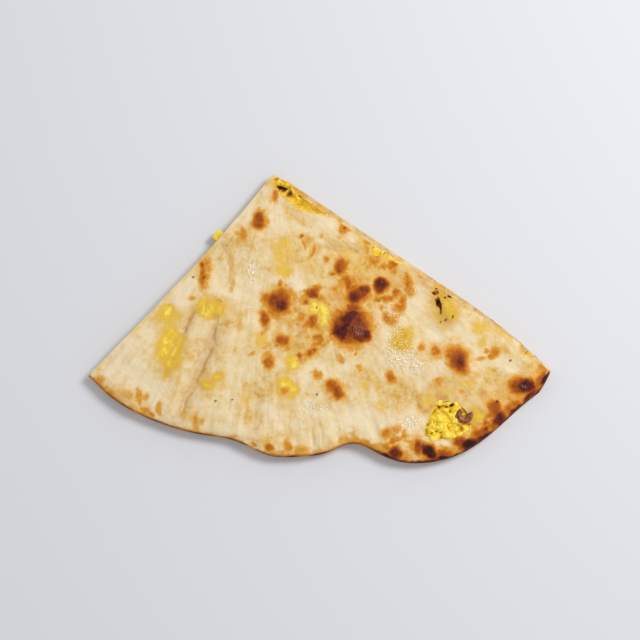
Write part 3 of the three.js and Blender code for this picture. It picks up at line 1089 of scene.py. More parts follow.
# %% [markdown]
# ## The red onion
#
# Two strips of red onion lie on the open filling and curl towards each other. Each is a flat
# oval that is spun part of the way round a centre, as a cut layer of an onion curls. A straight
# strip that is bent afterwards would be narrower on its inner side.

# %% Onion slices
# For each: the middle of its curl, the curl's radius, and its start and end in degrees.
ONION_SLICES = {
    "onion_slice_1": ((62.8, -42.9), 2.4, 122, 246),
    "onion_slice_2": ((62.8, -42.9), 2.5, 251, 388),
}
ONION_WIDE = 2.3
ONION_HIGH = 1.5
ONION_LEVEL = THICKNESS + LARGE_RISE + 0.3
ONION_STEPS = 14


def onion_slice(node, at, radius, start, end):
    middle = metres(*at, ONION_LEVEL)
    deselect_all()
    bpy.ops.mesh.primitive_circle_add(
        vertices=12, radius=ONION_WIDE / 2 * MM, fill_type="NGON", rotation=(math.pi / 2, 0, 0),
        location=(middle[0] + radius * MM, middle[1], middle[2]))
    piece = bpy.context.object
    piece.name = "kulcha_" + node
    bpy.ops.object.transform_apply(location=True, rotation=True, scale=True)
    start_editing()
    bpy.ops.transform.resize(value=(1, 1, ONION_HIGH / ONION_WIDE))
    bpy.ops.transform.rotate(value=-math.radians(start), orient_axis="Z", center_override=middle)
    curl = math.radians(start - end)
    bpy.ops.mesh.spin(steps=ONION_STEPS, angle=curl, center=middle, axis=(0, 0, 1))
    stop_editing(outward=True)
    return piece


slices = [onion_slice(node, *shape) for node, shape in ONION_SLICES.items()]
for piece in slices:
    print(count(piece), [round(v, 1) for v in corners(piece).mean(axis=0)])

# %% [markdown]
# ## Where the bread is brown, yellow, wet or crumbly, and where shade is painted
#
# The oven browns what stands closest to its wall: the blisters, the rim and the thin skin
# round them. Each spot here is an oval, and how dark it is goes from 0 for dough to 1 for char.
# The ovals are drawn at stirred points, so their edges come out ragged. The values are kept as
# attributes of the mesh, because a shader with a node for each spot would be slow and hard to
# read.
#
# A row of these tables is one oval: the middle's x and y, half length, half width and value,
# and the turn in degrees where there is one.

# %% Browned spots
BROWN_SPOTS = [
    # Round the tip and along the upper right cut.
    (-26.5, 42.7, 3.5, 4.4, 0.62), (-33.5, 36.1, 2.6, 3.3, 0.36), (-19.9, 53.2, 2, 3.5, 0.42),
    (-7.2, 35.3, 1.3, 1.5, 0.5), (-6.8, 32.6, 0.5, 2.2, 0.4), (-5, 37, 1.3, 1.3, 0.2),
    (1.1, 35.7, 1.3, 1.8, 0.22), (-3.3, 29.1, 1.5, 4.4, 0.33, -15), (10.7, 39.6, 2.6, 4.4, 0.38),
    (11.2, 40.1, 0.9, 0.9, 0.55), (9.4, 34.4, 1.8, 1.8, 0.2), (21.2, 32.6, 1.8, 2.2, 0.3),
    (32.6, 23, 2.6, 3.1, 0.5), (38.8, 15.1, 2.2, 6.1, 0.4), (33.5, 9.4, 2.6, 2.2, 0.38),
    (44, 18.2, 1.8, 1.8, 0.35),
    # Near the left cut.
    (-51, 18.2, 2.2, 6.6, 0.45), (-51.5, 22.6, 1.3, 1.8, 0.58), (-50.2, 17.3, 1.3, 1.8, 0.58),
    (-55.4, 7.7, 1.8, 1.3, 0.3),
    # The group in the middle, with the largest burn.
    (2.8, 25.2, 1.8, 2, 0.38), (9.4, 21.7, 3.9, 4.4, 0.6), (5.5, 19.1, 2.2, 1.8, 0.38),
    (11.7, 15, 2.6, 5.2, 0.5), (16.4, 10.3, 6.6, 6.8, 0.5), (19.1, 12.6, 3.4, 3.2, 0.72),
    (15.8, 9, 4.2, 3.8, 0.76), (14.6, 4.4, 3.6, 3.4, 0.64), (26.6, 13.9, 3.7, 3.7, 0.82),
    (16.8, 9.8, 4.6, 3.6, 0.7, 35), (13.8, -4.2, 10.4, 9.6, 0.72), (11.6, -1.5, 7, 4.6, 0.9, 58),
    (16.9, -6.6, 6.8, 5.8, 0.74), (9.4, -6, 4.6, 4.6, 0.88), (20.4, -7.4, 2.6, 4.2, 0.86, 20),
    (10.5, -4, 8, 1.6, 0.96, 40), (15.2, 0.8, 3.4, 3.8, 0.84), (17.2, -9.6, 5.4, 2.6, 0.76, 8),
    (30, 8.3, 4.2, 2, 0.46, -8), (34.4, 3.7, 2.2, 3.1, 0.4), (30.4, -0.7, 2.6, 3.9, 0.42, 20),
    # The group left of it.
    (-18, 7, 6.2, 6.3, 0.68), (-16.9, 5.4, 3.6, 3.4, 0.8), (-16.9, 14.2, 1.8, 2.2, 0.38),
    (-22.6, 8.5, 3.1, 3.5, 0.45), (-24.7, -0.7, 2.4, 4.4, 0.52), (-2.8, 10.3, 3.9, 3.1, 0.68),
    (-5.9, 5.9, 1.8, 1.8, 0.5), (-3.7, -1.5, 3.1, 3.1, 0.5), (-1.1, -9, 2.2, 2.6, 0.42),
    (5.5, 8.5, 2.6, 3.5, 0.2), (-16, -10.3, 3.9, 3.3, 0.55, -20), (-29.8, -15.7, 2.5, 1.4, 0.3, 32),
    (-22, -19.6, 2.4, 3.7, 0.48), (-14.7, -31.8, 2.4, 2.2, 0.38), (-9.4, -17.3, 1.8, 1.8, 0.5),
    (-3.3, -15.5, 3.9, 2.4, 0.48, 20), (-1.9, -25.4, 1.5, 3.3, 0.3), (-4.6, -33.5, 1.3, 1.3, 0.2),
    (9, -18.2, 1.8, 2.6, 0.28), (15.1, -16, 0.9, 1.3, 0.35), (17.3, -22.1, 2.2, 2.2, 0.28),
    (5.3, -30.2, 3.6, 3.6, 0.52), (7.8, -33, 3, 4, 0.56, 20), (7.9, -33.2, 2, 1.3, 0.66),
    (30.9, -26.9, 2.6, 3.3, 0.45), (28.3, -50.6, 2.2, 2.6, 0.42), (32.6, -48.8, 2.2, 2.2, 0.38),
    # Towards the right corner.
    (44.5, -13.8, 2, 2.4, 0.4), (50.6, -15.1, 3.1, 2.6, 0.46), (60.4, -18.7, 5, 7.9, 0.68, 32),
    (61, -19.2, 2.2, 5.3, 0.76, 40), (77.2, -14.8, 2.9, 3.5, 0.4, -25),
    (70.7, -18.2, 3.5, 1.3, 0.3, 10), (87.7, -29.6, 7, 4.8, 0.62), (90, -29.3, 5.2, 3.9, 0.94, -10),
    (98.8, -26.2, 5.2, 1.4, 0.92, 45), (97, -27, 5.5, 2.8, 0.55, 45), (76, -39.8, 4.4, 4.9, 0.62),
    (77.7, -36.8, 1.5, 1.4, 0.82), (77.8, -44.2, 4.8, 3.4, 0.88, 40), (71.7, -48.9, 2.4, 2, 0.74),
    (69.8, -49.9, 7.5, 3.4, 0.55, 33), (70.8, -52.2, 6.5, 1.9, 0.86, 31),
    (91.8, -33.6, 5, 1.5, 0.85, 45), (85.5, -39.8, 5, 1.5, 0.82, 42), (84, -38.5, 6.5, 2.6, 0.48, 42),
    (62.4, -32.6, 1.8, 1.8, 0.32),
    # Along the rim.
    (-78.4, -35, 1.6, 5.4, 0.29, 6), (-75.7, -35.8, 1.5, 2.8, 0.27, -20),
    (-69.1, -39.6, 1.8, 5.2, 0.3, 2), (-53.7, -46, 2, 4.6, 0.29), (-29, -56.2, 2.6, 1.4, 0.32, -10),
    (-75.2, -41.2, 4.6, 1.6, 0.34, -30), (-72.9, -42.6, 2, 1.4, 0.42, -30),
    (-75.6, -44.9, 2.8, 1.1, 0.9, -25), (-21.7, -57.2, 2.2, 2.2, 0.5), (-12.9, -56.7, 2.6, 3.1, 0.4),
    (11.2, -53.7, 3.9, 2.2, 0.26), (32.4, -59.3, 3.4, 3.8, 0.82), (28.5, -60.4, 4.4, 1.6, 0.95, -35),
    (42.7, -57, 3.2, 4.6, 0.64), (47.7, -58.9, 5.6, 3, 1, -50), (54.4, -59.6, 4.8, 2.7, 0.62),
    (55, -61.2, 6.5, 1.5, 0.98, 6), (60.7, -54.5, 3.2, 2.9, 0.66), (64.6, -55.3, 5.4, 2.7, 0.97, 20),
]
print(len(BROWN_SPOTS), "browned spots")

# %% Specks, and the brown of the rim
# Pin pricks and specks of soot, which have no value.
BLACK_SPECKS = [
    (-45.3, -36.6, 0.55, 0.5), (-37.9, -36.1, 0.45, 0.4), (-55.4, 17.7, 0.5, 0.5),
    (-1.1, -33.9, 0.55, 0.5), (83, -19.1, 0.6, 0.6), (80.8, -3.7, 0.9, 0.6, 20),
    (50, 10.5, 1.1, 0.6, -35), (51.2, 12.5, 0.5, 0.45), (51.7, 11, 0.5, 0.45), (52.8, 13.2, 0.45, 0.45),
    (55, 8.6, 0.65, 0.5, 10), (56.9, 9.1, 1.05, 0.6, -20), (55, 11, 0.4, 0.4), (53, 2.4, 0.4, 1.4, 4),
    (55.1, -1.2, 0.75, 0.5, 20), (58.2, 0.2, 0.45, 0.75), (52.9, -2, 0.5, 0.4), (-1.1, 4.2, 0.3, 0.7),
    (57.3, -38.4, 1.1, 0.8, 45), (52.4, -39.3, 0.5, 0.6), (54.7, -39.2, 0.7, 0.6),
    (-77.5, -45.4, 1.8, 0.7, -20),
]

# How brown the rim is from the left corner to the right corner: x, level of the edge itself,
# and level and width of the band beside it.
RIM_BROWN = [
    (-101, 0.45, 0.34, 4.0),
    (-90, 0.48, 0.36, 5.0),
    (-80, 0.50, 0.30, 4.2),
    (-70, 0.40, 0.20, 3.0),
    (-58, 0.32, 0.12, 2.2),
    (-45, 0.26, 0.10, 2.5),
    (-37, 0.42, 0.25, 3.5),
    (-24, 0.40, 0.18, 3.0),
    (-16, 0.44, 0.30, 4.5),
    (-8, 0.40, 0.26, 4.5),
    (8, 0.36, 0.30, 6.0),
    (18, 0.46, 0.28, 5.0),
    (26, 0.90, 0.42, 5.5),
    (35, 0.95, 0.30, 5.0),
    (45, 0.95, 0.38, 6.5),
    (60, 0.95, 0.44, 7.0),
    (75, 0.95, 0.44, 8.0),
    (102, 0.95, 0.42, 7.5),
]
EDGE_WIDTH = 1.3
print(len(BLACK_SPECKS), "specks")

# %% Toasted places
# Soft golden haze round and between the spots.
TOASTED_PLACES = [
    (14, 12, 12, 12, 0.3), (28, 24, 14, 6, 0.26, -33), (13.8, -4.2, 13.5, 13, 0.38),
    (-17.5, 6.5, 10, 10, 0.32), (-2.8, 9.5, 7.5, 7, 0.36), (-3.5, -2.5, 6, 6.5, 0.3),
    (53.5, -28, 6, 4, 0.2), (-59, -24, 5, 5, 0.1), (-3.3, -13.5, 6.5, 5.5, 0.26),
    (-22, -55, 9, 4.5, 0.11), (12.5, -53.5, 9, 3.6, 0.17), (32, -56, 8, 7, 0.28),
    (94, -33, 8, 7, 0.36, 40), (84, -40, 9, 7, 0.34, 40), (74, -47, 9, 6, 0.36, 30),
    (11.2, 16.9, 3.1, 9.6, 0.34, -10), (10.3, 22.1, 4.8, 5.7, 0.3), (20.4, 23.9, 6.6, 5.3, 0.2),
    (5.9, 7.2, 3.9, 5.3, 0.22), (-5.9, 7.2, 5.3, 6.1, 0.2), (-1.1, -10.3, 7.9, 6.1, 0.26),
    (-8.5, -0.7, 4.4, 7, 0.22), (-12.9, -2.4, 4.4, 4.4, 0.15), (-16.9, 8.1, 8.3, 8.8, 0.26),
    (-24.7, -4.2, 3.1, 5.7, 0.24), (18.6, 2, 5.3, 7, 0.3), (26.9, 12.5, 6.6, 6.1, 0.26),
    (32.6, 9.9, 5.7, 3.5, 0.32, -10), (31.3, -1.5, 3.9, 6.1, 0.24), (36.1, 6.4, 2.6, 6.1, 0.28),
    (-22.6, -15.5, 3.5, 7.9, 0.2), (-16, -12.5, 6.1, 6.1, 0.22), (-8.1, -18.2, 5.3, 3.9, 0.24),
    (6.8, -31.3, 5.7, 6.6, 0.24), (-1.1, -25.2, 2.6, 4.8, 0.22), (31.3, -27.8, 3.9, 3.9, 0.22),
    (-50.2, 20.4, 3.9, 9.6, 0.24), (-25.2, 44, 5.3, 6.1, 0.24), (-34.8, 37.4, 3.9, 3.9, 0.22),
    (11.2, 40.5, 6.6, 3.9, 0.22, -35), (-5, 34.4, 5.3, 3.5, 0.14), (34.4, 23.9, 5.3, 3.5, 0.24, -35),
    (59.3, -19.1, 7, 7.4, 0.26), (48.4, -16.9, 8.8, 3.1, 0.18), (74.7, -16, 5.7, 3.9, 0.24, -20),
    (90, -29.6, 7.9, 5.7, 0.28), (75.6, -40.1, 6.6, 6.6, 0.3), (41.4, -55.8, 6.1, 6.1, 0.24),
    (34.4, -50.6, 6.1, 5.3, 0.24), (53.7, -59.3, 10.5, 3.9, 0.3), (-74.2, -37.4, 11.4, 3.5, 0.1, -32),
    (66.5, -48.5, 6.5, 4.5, 0.3, 25), (57.5, -50, 5, 4, 0.28), (27, 7, 6, 5, 0.3),
    (-44, 6.8, 2.6, 1.6, 0.22), (51.6, 10.4, 1.6, 2.2, 0.34), (36.6, -10.2, 2.6, 2.6, 0.2),
    (74.7, -41, 6.5, 5, 0.34), (-52.3, -45.3, 10.5, 3.1, 0.16, -12), (-12.9, -56.7, 10.5, 3.1, 0.13),
    (-30.4, -52.8, 7, 2.6, 0.16, -20), (11.2, -54.1, 8.8, 2.6, 0.14), (61.5, -29.6, 5.3, 2.2, 0.2),
]
print(len(TOASTED_PLACES), "toasted places")

# %% Levels of spots, haze and rim
def spot_level(points, spots):
    """The darkest of the spots at each point. Each fades out softly, with a lighter ring."""
    level = np.zeros(len(points))
    for share, value in each_oval(points, spots):
        core = value * ramp_down(share, 0.3, 1.1)
        ring = min(0.22, 0.5 * value) * ramp_down(share, 0.7, 1.4)
        level = np.maximum(level, np.maximum(core, ring))
    return level


def toast_level(points):
    """The soft haze, broken up into flecks."""
    level = np.zeros(len(points))
    for share, value in each_oval(points, TOASTED_PLACES):
        level = np.maximum(level, value * ramp_down(share, 0.2, 1.1))
    flecks = 1.0 + 0.9 * bumps(points, 2.8, 65) + 0.7 * bumps(points, 1.3, 66)
    return level * np.clip(flecks, 0, 1.6)


def rim_level(points, rim):
    """The brown of the rim: a narrow line at its edge and a wider, paler band beside it."""
    x, edge, band, width = np.array(RIM_BROWN).T
    edge, band, width = (np.interp(points[:, 0], x, column) for column in (edge, band, width))
    uneven = 1 + 0.5 * bumps(points, 4, 61) + 0.4 * bumps(points, 1.6, 62)
    band = band * (0.9 + 0.5 * bumps(points, 7, 64))
    return np.maximum(edge * bell(rim, EDGE_WIDTH * uneven), band * bell(rim, width * uneven))


# %% [markdown]
# The filling shows through where the sheet is thin, as yellow stains with bright middles, and
# round the torn places. Butter lies in small wet patches that glint, and there the dough's
# colour is painted paler, a painted sheen.

# %% Yellow stains and butter
YELLOW_STAINS = [
    (14, 25, 11, 5.5, 0.3, -15), (21, 18, 7, 5, 0.22), (31, 21, 8, 4, 0.32, -32), (-4, 18, 5, 7, 0.2),
    (37, 2, 5, 7, 0.2), (-13, 2, 4, 5, 0.2), (-66.8, 2.9, 3.6, 2.4, 0.85),
    (-70.5, -1.8, 5.5, 2.6, 0.35, -15), (-66, -14, 6.2, 11, 0.5, -5), (-65.5, 1, 7, 4, 0.35),
    (-47, 4, 7, 4.6, 0.4), (0.5, 1, 5, 8, 0.45), (54, 5.6, 6, 9, 0.4), (66.5, -45, 7.5, 6, 0.5, 20),
    (-65, -7.7, 3.1, 2.6, 0.8), (-67.7, -10.7, 2.2, 2.2, 0.9), (-68.1, -16, 3.1, 3.5, 0.75),
    (-64.4, -20.6, 2.9, 2.8, 0.75, 20), (-66.8, -25.2, 1.3, 2.2, 0.45, -20),
    (-62, -9, 1.8, 4.4, 0.4, -15), (-61.8, -15.2, 2.4, 4.4, 0.55, -25),
    (-50.6, 4.6, 2.4, 3.7, 0.68, -20), (-45.6, 4.4, 4.4, 4.2, 0.62), (-48.4, 1.5, 3.5, 1.8, 0.5),
    (-47.5, -28.5, 5.5, 4.2, 0.25, 20), (-48.8, -29.7, 2.4, 2.2, 0.9),
    (-43.6, -26.4, 2.2, 1.9, 0.75, 30), (-15.3, 32.5, 4.2, 3, 0.35), (-16, 26.5, 4.4, 6.5, 0.42),
    (-15, 19.9, 3.9, 2, 0.6), (-3.3, 29.1, 1.3, 3.9, 0.6, -15), (-0.4, 4, 4.2, 3.9, 0.95),
    (1.5, -0.9, 3.4, 3.6, 0.85), (-1.5, -5, 1.8, 2.2, 0.5), (-25.5, -9.4, 3.4, 5, 0.6),
    (-11.2, -19.7, 3.6, 3.9, 0.95), (-14.4, -31.2, 4.6, 5, 0.55), (-11.6, -32.2, 2, 2.8, 0.9),
    (-15.6, -28.6, 2.2, 1.8, 0.8), (-31.8, -36.6, 2.2, 2.6, 0.35), (20.4, -29.6, 1.8, 1.8, 0.5),
    (26.5, -38.8, 2.2, 3.1, 0.35), (35.5, -10.3, 4.2, 4.2, 0.95), (39.4, -6, 2.6, 2.2, 0.4),
    (55, 7.6, 2.9, 5.4, 0.9, 8), (57, 1, 3.8, 3.2, 0.5), (52.3, 12, 3.6, 2.8, 0.6),
    (70.2, -4.6, 4, 3, 0.55), (71.2, -11.2, 1.8, 3.1, 0.4), (64.2, -28.3, 3.9, 2.2, 0.5),
    (91.3, -14.7, 3.5, 1.8, 0.9, -50), (30, 26.9, 6.1, 1.8, 0.85, -35), (25.2, 29.6, 2.2, 2.2, 0.9),
    (47.5, -35.7, 2.6, 3, 0.6), (56, -31.5, 6, 3, 0.3), (67.5, -45.5, 5.3, 4.4, 0.8, 30),
    (63.5, -50, 4, 2.6, 0.7, 30), (-18.6, 60.2, 2.2, 2.2, 0.8), (16.9, 36.1, 6.1, 1.3, 0.3, -35),
]

# Wet patches of butter that glint. The dough's colour is also painted paler there, a painted sheen.
BUTTER = [
    (-30.2, 20.6, 2.6, 7, 1.3), (-38.8, 16, 1.4, 1.4, 0.6), (-39.2, 1.5, 1.2, 1.2, 1),
    (-31.3, 4.2, 1.2, 1.2, 1), (36, -17, 13, 8.5, 1.2, -25), (34, -1, 14, 10, 0.5, -20),
    (42, 10, 6, 8, 0.5, -20), (89.3, -30.2, 1.6, 1.3, 1.1), (33, -7, 5, 4, 0.6),
    (38.5, -46.5, 5.5, 5.5, 1), (-2, -39.5, 10, 3.4, 0.8), (-15.6, -9.2, 1.4, 1.2, 0.9),
    (-7.5, -17.7, 1.2, 1, 0.9), (16.4, -6.4, 5, 4.4, 0.62), (30, 4, 8, 5, 0.3, -30),
    (18, -32, 6, 4, 0.4),
]
print(len(YELLOW_STAINS), "stains and", len(BUTTER), "buttered places")

# %% Tan places
# Where the dough itself is warmer and darker than its usual cream.
TAN_PLACES = [
    (45, 16, 8, 4.5, 0.6, -34), (-39.3, -19, 8, 9, 0.25), (5, 12, 24, 13, 0.15),
    (22, 27, 18, 9, 0.2, -33), (41, -32, 16, 6, 0.3), (-31, 14, 5, 20, 0.2), (56, -37, 11, 6, 0.4),
    (-44, 30, 8, 12, 0.4, -35), (-14, 0, 12, 14, 0.25), (55, 8, 12, 11, 0.35),
    (-12.9, 26.9, 14.9, 9.6, 0.35), (4.6, 33.5, 13.1, 6.1, 0.4, -25), (16.9, 20.4, 14, 7.9, 0.35, -10),
    (31.8, 13.8, 11.4, 8.8, 0.35), (0.2, -0.7, 16.6, 14.9, 0.5), (-8.5, -14.7, 13.1, 9.6, 0.5),
    (11.2, 2.8, 14.9, 13.1, 0.45), (-32.6, -35.7, 11.4, 9.6, 0.5), (-20.8, -30, 9.6, 7.9, 0.55),
    (4.6, -33.1, 11.4, 7.9, 0.5), (17.7, -27.8, 8.8, 6.1, 0.45), (46.2, -15.5, 6.1, 5.3, 0.4),
    (59.3, -30, 11.4, 5.3, 0.6), (73.4, -27.8, 9.6, 7, 0.55), (52.8, -36.6, 14.9, 6.1, 0.45),
    (79.1, -34.4, 11.4, 8.8, 0.55, 20), (74.7, -5.9, 10.5, 5.3, 0.4, -35), (59.3, 5, 10.5, 9.6, 0.5),
    (-50.2, 22.6, 6.1, 11.4, 0.5), (-56.7, -12.5, 5.3, 7, 0.4), (-45.8, -27.8, 8.8, 10.5, 0.5, -20),
    (-69.9, -21.2, 5.3, 7.9, 0.35), (-32.6, 35.7, 9.6, 7, 0.45), (-25.2, 51, 7, 9.6, 0.3),
    (-8.5, 44.5, 11.4, 3.5, 0.4, -30), (-83, -34.4, 13.1, 3.5, 0.4, -35),
    (-52.3, -44.5, 11.4, 3.5, 0.4, -10), (-17.3, -54.1, 11.4, 3.5, 0.4), (35.3, -36.6, 10.5, 7.9, 0.25),
    (70, -1, 8, 7, 0.35), (91, -22.5, 6, 4.5, 0.5, -40), (83.5, -15, 6, 4.5, 0.5, -30),
    (53, -28, 8, 6, 0.4, -20),
]
print(len(TAN_PLACES), "tan places")

# %% Lines of painted shade and tint, and the amber line
# One crease near the left cut is amber along this line.
AMBER_LINE = [(-40.8, 31.6), (-38.6, 27), (-37.9, 21.2), (-37.9, 16), (-38.6, 11.6)]

# Where shade is painted in folds, creases and wrinkles across the rim, and where the middles of
# some yellow stains get a darker tint. A line, its width and how much.
SHADE_AND_TINT_LINES = [
    ([(-43.2, 32.1), (-41.5, 29.3), (-40.1, 25.2), (-39.4, 20.9), (-39.7, 15.5)], 0.6, 0.6),
    ([(-54.6, 1.8), (-57.2, -2.2), (-59.5, -5.6)], 0.5, 0.9),
    ([(-53.8, 2.8), (-57.2, -2.6), (-60.5, -7.5)], 2.0, 0.35),
    ([(-48.5, 0.0), (-50.5, -3.0)], 1.2, 0.3),
    ([(-43.9, 1.3), (-45.3, -5), (-47.6, -11), (-50.3, -14.6), (-52.8, -16.8), (-53.2, -18.8),
      (-55.2, -22)], 0.5, 0.75),
    ([(-59.3, -36.5), (-61.2, -41.5)], 0.5, 0.6),
    ([(-46.3, -5), (-48.4, -13), (-52, -21.5), (-55.4, -29.6), (-58.3, -38)], 2.6, 0.45),
    ([(-39.2, 30.9), (-30.4, 31.3), (-22.6, 33.5), (-15.1, 35.5), (-4.5, 36.0)], 0.9, 0.25),
    ([(-1, 31.6), (4.4, 30.6), (9.2, 29.4), (14, 30), (17, 28.7)], 0.7, 0.5),
    ([(-8.4, 35.2), (-7, 36.5), (-5.5, 35.5), (-5.2, 31.5)], 0.8, 0.6),
    ([(18.5, -11), (16.5, -18)], 1.5, 0.25),
    ([(21, -37.5), (25, -45), (27, -52)], 1.2, 0.3),
    ([(-26, -36), (-27.5, -44), (-30, -53)], 1.6, 0.3),
    ([(53.5, 12), (53.4, 6), (54.6, -1)], 4.2, 0.85),
    ([(36, -10.6), (37, -9.2)], 3.0, 0.85),
    ([(-49.5, -31), (-47.5, -28.5), (-44, -26)], 2.6, 0.4),
    ([(47, -23), (58, -30)], 5.0, 0.3),
    ([(66, -42), (68, -47)], 3.5, 0.5),
    ([(35.5, 20.5), (46, 14.6), (49.5, 12)], 3.2, 0.5),
    ([(-61, -13), (-63, -18.5), (-66.5, -24)], 2.6, 0.45),
    ([(-51, 3), (-45, 6)], 4.0, 0.3),
    ([(-24.6, -42), (-25.6, -46), (-27.6, -49)], 0.7, 0.5),
    ([(-20.2, -45), (-20.6, -50)], 0.8, 0.35),
    ([(-3.2, -49.8), (-2.6, -55.5)], 0.6, 0.55),
    ([(-0.6, -51), (-0.4, -56)], 0.4, 0.4),
    ([(1.4, -50.2), (1.2, -55.5)], 0.4, 0.45),
    ([(3.6, -51.5), (3.2, -56)], 0.4, 0.35),
    ([(8.6, -49), (8.2, -54)], 0.45, 0.4),
]
print(len(SHADE_AND_TINT_LINES), "dull lines")

# %% Levels of patches and stains
def patch_level(points, patches):
    """Soft patches that add up to 1 at most."""
    level = np.zeros(len(points))
    for share, value in each_oval(points, patches):
        level = level + value * ramp_down(share, 0.1, 1.2) * (1 - level)
    return level


def yellow_level(points):
    """Yellow stains with a bright middle and a wide faint edge. They add up to 1 at most."""
    clear = np.ones(len(points))
    for share, value in each_oval(points, YELLOW_STAINS):
        middle = value * ramp_down(share, 0.4, 0.9)
        edge = 0.42 * value * ramp_down(share, 0.8, 1.2)
        clear = clear * (1 - np.maximum(middle, edge))
    return 1 - clear


# %% [markdown]
# What the levels depend on is measured once for every vertex: how far it lies from the sides
# and at which share of the bread's height. From that each attribute is worked out: brown; soot
# with painted shadow; yellow stain; painted shade of folds with a darker tint; tan; wet, which
# also paints a paler sheen; and crumb, which is the pale inside that cuts and tears open.

# %% Where each vertex lies
# Noise on the steep faces is taken at points that move so far for each millimetre of height.
SLANT = (1.7, -1.2)


class Skin:
    """Where each of the bread's vertices lies, and the ragged points that spots are drawn at."""

    def __init__(self, piece):
        places = corners(piece)
        self.points = points = places[:, :2]
        self.left, self.rim, self.right, _ = side_distances(points)
        top = top_at(points, self.left, self.right, self.rim)
        low = bottom_at(points, self.rim)
        self.share = np.clip((places[:, 2] - low) / (top - low), 0, 1)
        self.upper = ramp_up(self.share, 0.25, 0.4)
        self.slanted = points + places[:, 2:] * SLANT
        self.ragged = stirred(stirred(points, 1.0, 5, 71), 0.35, 1.5, 73)
        self.streaks = bumps(round_the_tip(points), 1.7, 80)
        self.ledge = (1 - self.upper) * ramp_up(self.share, 0.02, 0.05)
        self.ledge = self.ledge * bell(self.right - 1.5, 3) * ramp_up(self.rim, 2, 4)


def crumb_level(skin):
    """1 on the faces of the cuts and inside the bread."""
    within = smooth(np.minimum(skin.share - 0.04, 0.95 - skin.share) / 0.06)
    at_cut = np.maximum(ramp_down(skin.left, 0.9, 0.5), ramp_down(skin.right, 3.4, 0.5))
    behind_rim = smooth((skin.rim - BAKED_RIM + 2) / 2)
    return within * np.maximum(at_cut * ramp_up(skin.rim, 1.2, 1.5), behind_rim)


# %% Levels of brown, and of soot and painted shadow
def soot_and_shadow_level(skin):
    """Black specks on top, and dark bits in the step along the right cut: partly char, partly painted
    shadow.
    """
    soot = np.zeros(len(skin.points))
    crisp = stirred(skin.points, 0.15, 0.9, 79)
    for x, y, half_x, half_y, *turn in BLACK_SPECKS:
        share = share_of_oval(crisp, (x, y), (half_x, half_y), *turn)
        soot = np.maximum(soot, ramp_down(share, 0.55, 0.8))
    soot = soot * ramp_up(skin.share, 0.75, 0.15)
    # Dark bits in the step along the right cut: partly char, partly painted shadow.
    char_and_shadow_bits = smooth(2.6 * bumps(stirred(skin.slanted, 0.4, 1.2, 67), 1.5, 69) - 1.1)
    char_and_shadow_bits = char_and_shadow_bits * ramp_down(skin.right, 0.3, 0.4)
    return np.maximum(soot, 0.8 * char_and_shadow_bits * ramp_up(skin.rim, 3, 2) * ramp_up(skin.share, 0.1, 0.2))


def edge_level(skin):
    """The thin brown line along the rim's edge: toasting, and partly painted shade."""
    line = np.clip(0.8 + 0.55 * bumps(skin.points, 6, 63), 0.3, 1)
    top = 0.72 + 0.08 * bumps(skin.points, 4, 60)
    line = line * ramp_down(skin.share, top, 0.2) * (1 - smooth(skin.rim / 3))
    foot = skin.share - 0.25 - 0.1 * bumps(skin.points, 5, 59)
    return line * (0.55 + 0.45 * smooth(foot / 0.4))


def underside_level(skin):
    """The underside's spots, its mottled tan and its freckles."""
    spots = spot_level(stirred(skin.points * 1.15 + 37, 1.2, 4, 75), BROWN_SPOTS) * 0.9
    mottled = stirred(stirred(skin.points, 5, 11, 77), 1.5, 3.5, 74)
    toasted = 0.45 + 0.55 * bumps(mottled, 8, 72) + 0.5 * bumps(mottled, 3.3, 92)
    freckles = smooth(2 * bumps(mottled, 4.2, 93) - 0.9)
    return np.maximum(spots, np.maximum(0.24 * smooth(toasted), 0.5 * freckles))


def brown_level(skin):
    brown = np.maximum(spot_level(skin.ragged, BROWN_SPOTS), toast_level(skin.ragged))
    brown = np.maximum(brown, rim_level(skin.ragged, skin.rim)) * mix(0.9, 1, skin.share)
    # The rim's edge line: toasting, and partly painted shade.
    edge = edge_level(skin)
    brown = np.maximum(brown * skin.upper, edge)
    below = np.maximum(underside_level(skin), edge)
    brown = mix(brown, below, 1 - smooth(skin.share / 0.08))
    amber = distance_to_path(stirred(skin.points, 0.4, 2, 76), AMBER_LINE)
    return np.maximum(brown, 0.2 * bell(amber, 1.6) * skin.upper)


# %% Levels of yellow, tan, and painted shade and tint
def stain_level(skin):
    """Yellow stains, also round the tears, along the cuts and on the ledge near the tip."""
    points, left, right = skin.points, skin.left, skin.right
    uneven = 1 + 0.25 * skin.streaks + 0.2 * bumps(points, 1.5, 84)
    stain = yellow_level(stirred(points, 1.0, 3, 81)) * uneven
    stain = np.maximum(stain, 0.5 * tear_level(stirred(skin.ragged, 0.6, 2.0, 82), 1.5))
    stain = np.maximum(stain, 0.45 * bell(right, 5) * smooth(bumps(points, 8, 83) + 0.6))
    stain = np.maximum(stain, 0.35 * bell(left, 3) * smooth(bumps(points, 6, 89) + 0.3))
    stain = stain * (1 - 0.7 * bell(left, 0.8))
    near_tip = bell(distance_from(points, (-16, 58.5)), 7)
    near_tip = 0.9 * near_tip * smooth(0.7 + bumps(points, 1.6, 78))
    stain = mix(near_tip * bell(right - 1.5, 3), stain, skin.upper)
    return np.maximum(stain, 0.5 * skin.ledge * smooth(1.4 * bumps(skin.slanted, 4, 58)))


def tear_level(points, width):
    """1 at the edge of a torn place, fading to 0 at width millimetres from it."""
    level = np.zeros(len(points))
    for edge in tear_edges:
        level = np.maximum(level, 1 - smooth(-inner_depth(points, edge) / width))
    return level


def tan_level(skin):
    tan = 0.95 * patch_level(stirred(skin.points, 2.5, 9, 85), TAN_PLACES)
    tan = tan + 0.25 * bumps(skin.points, 12, 87) + 0.15 * bumps(skin.points, 5, 88)
    return tan + 0.1 * skin.streaks


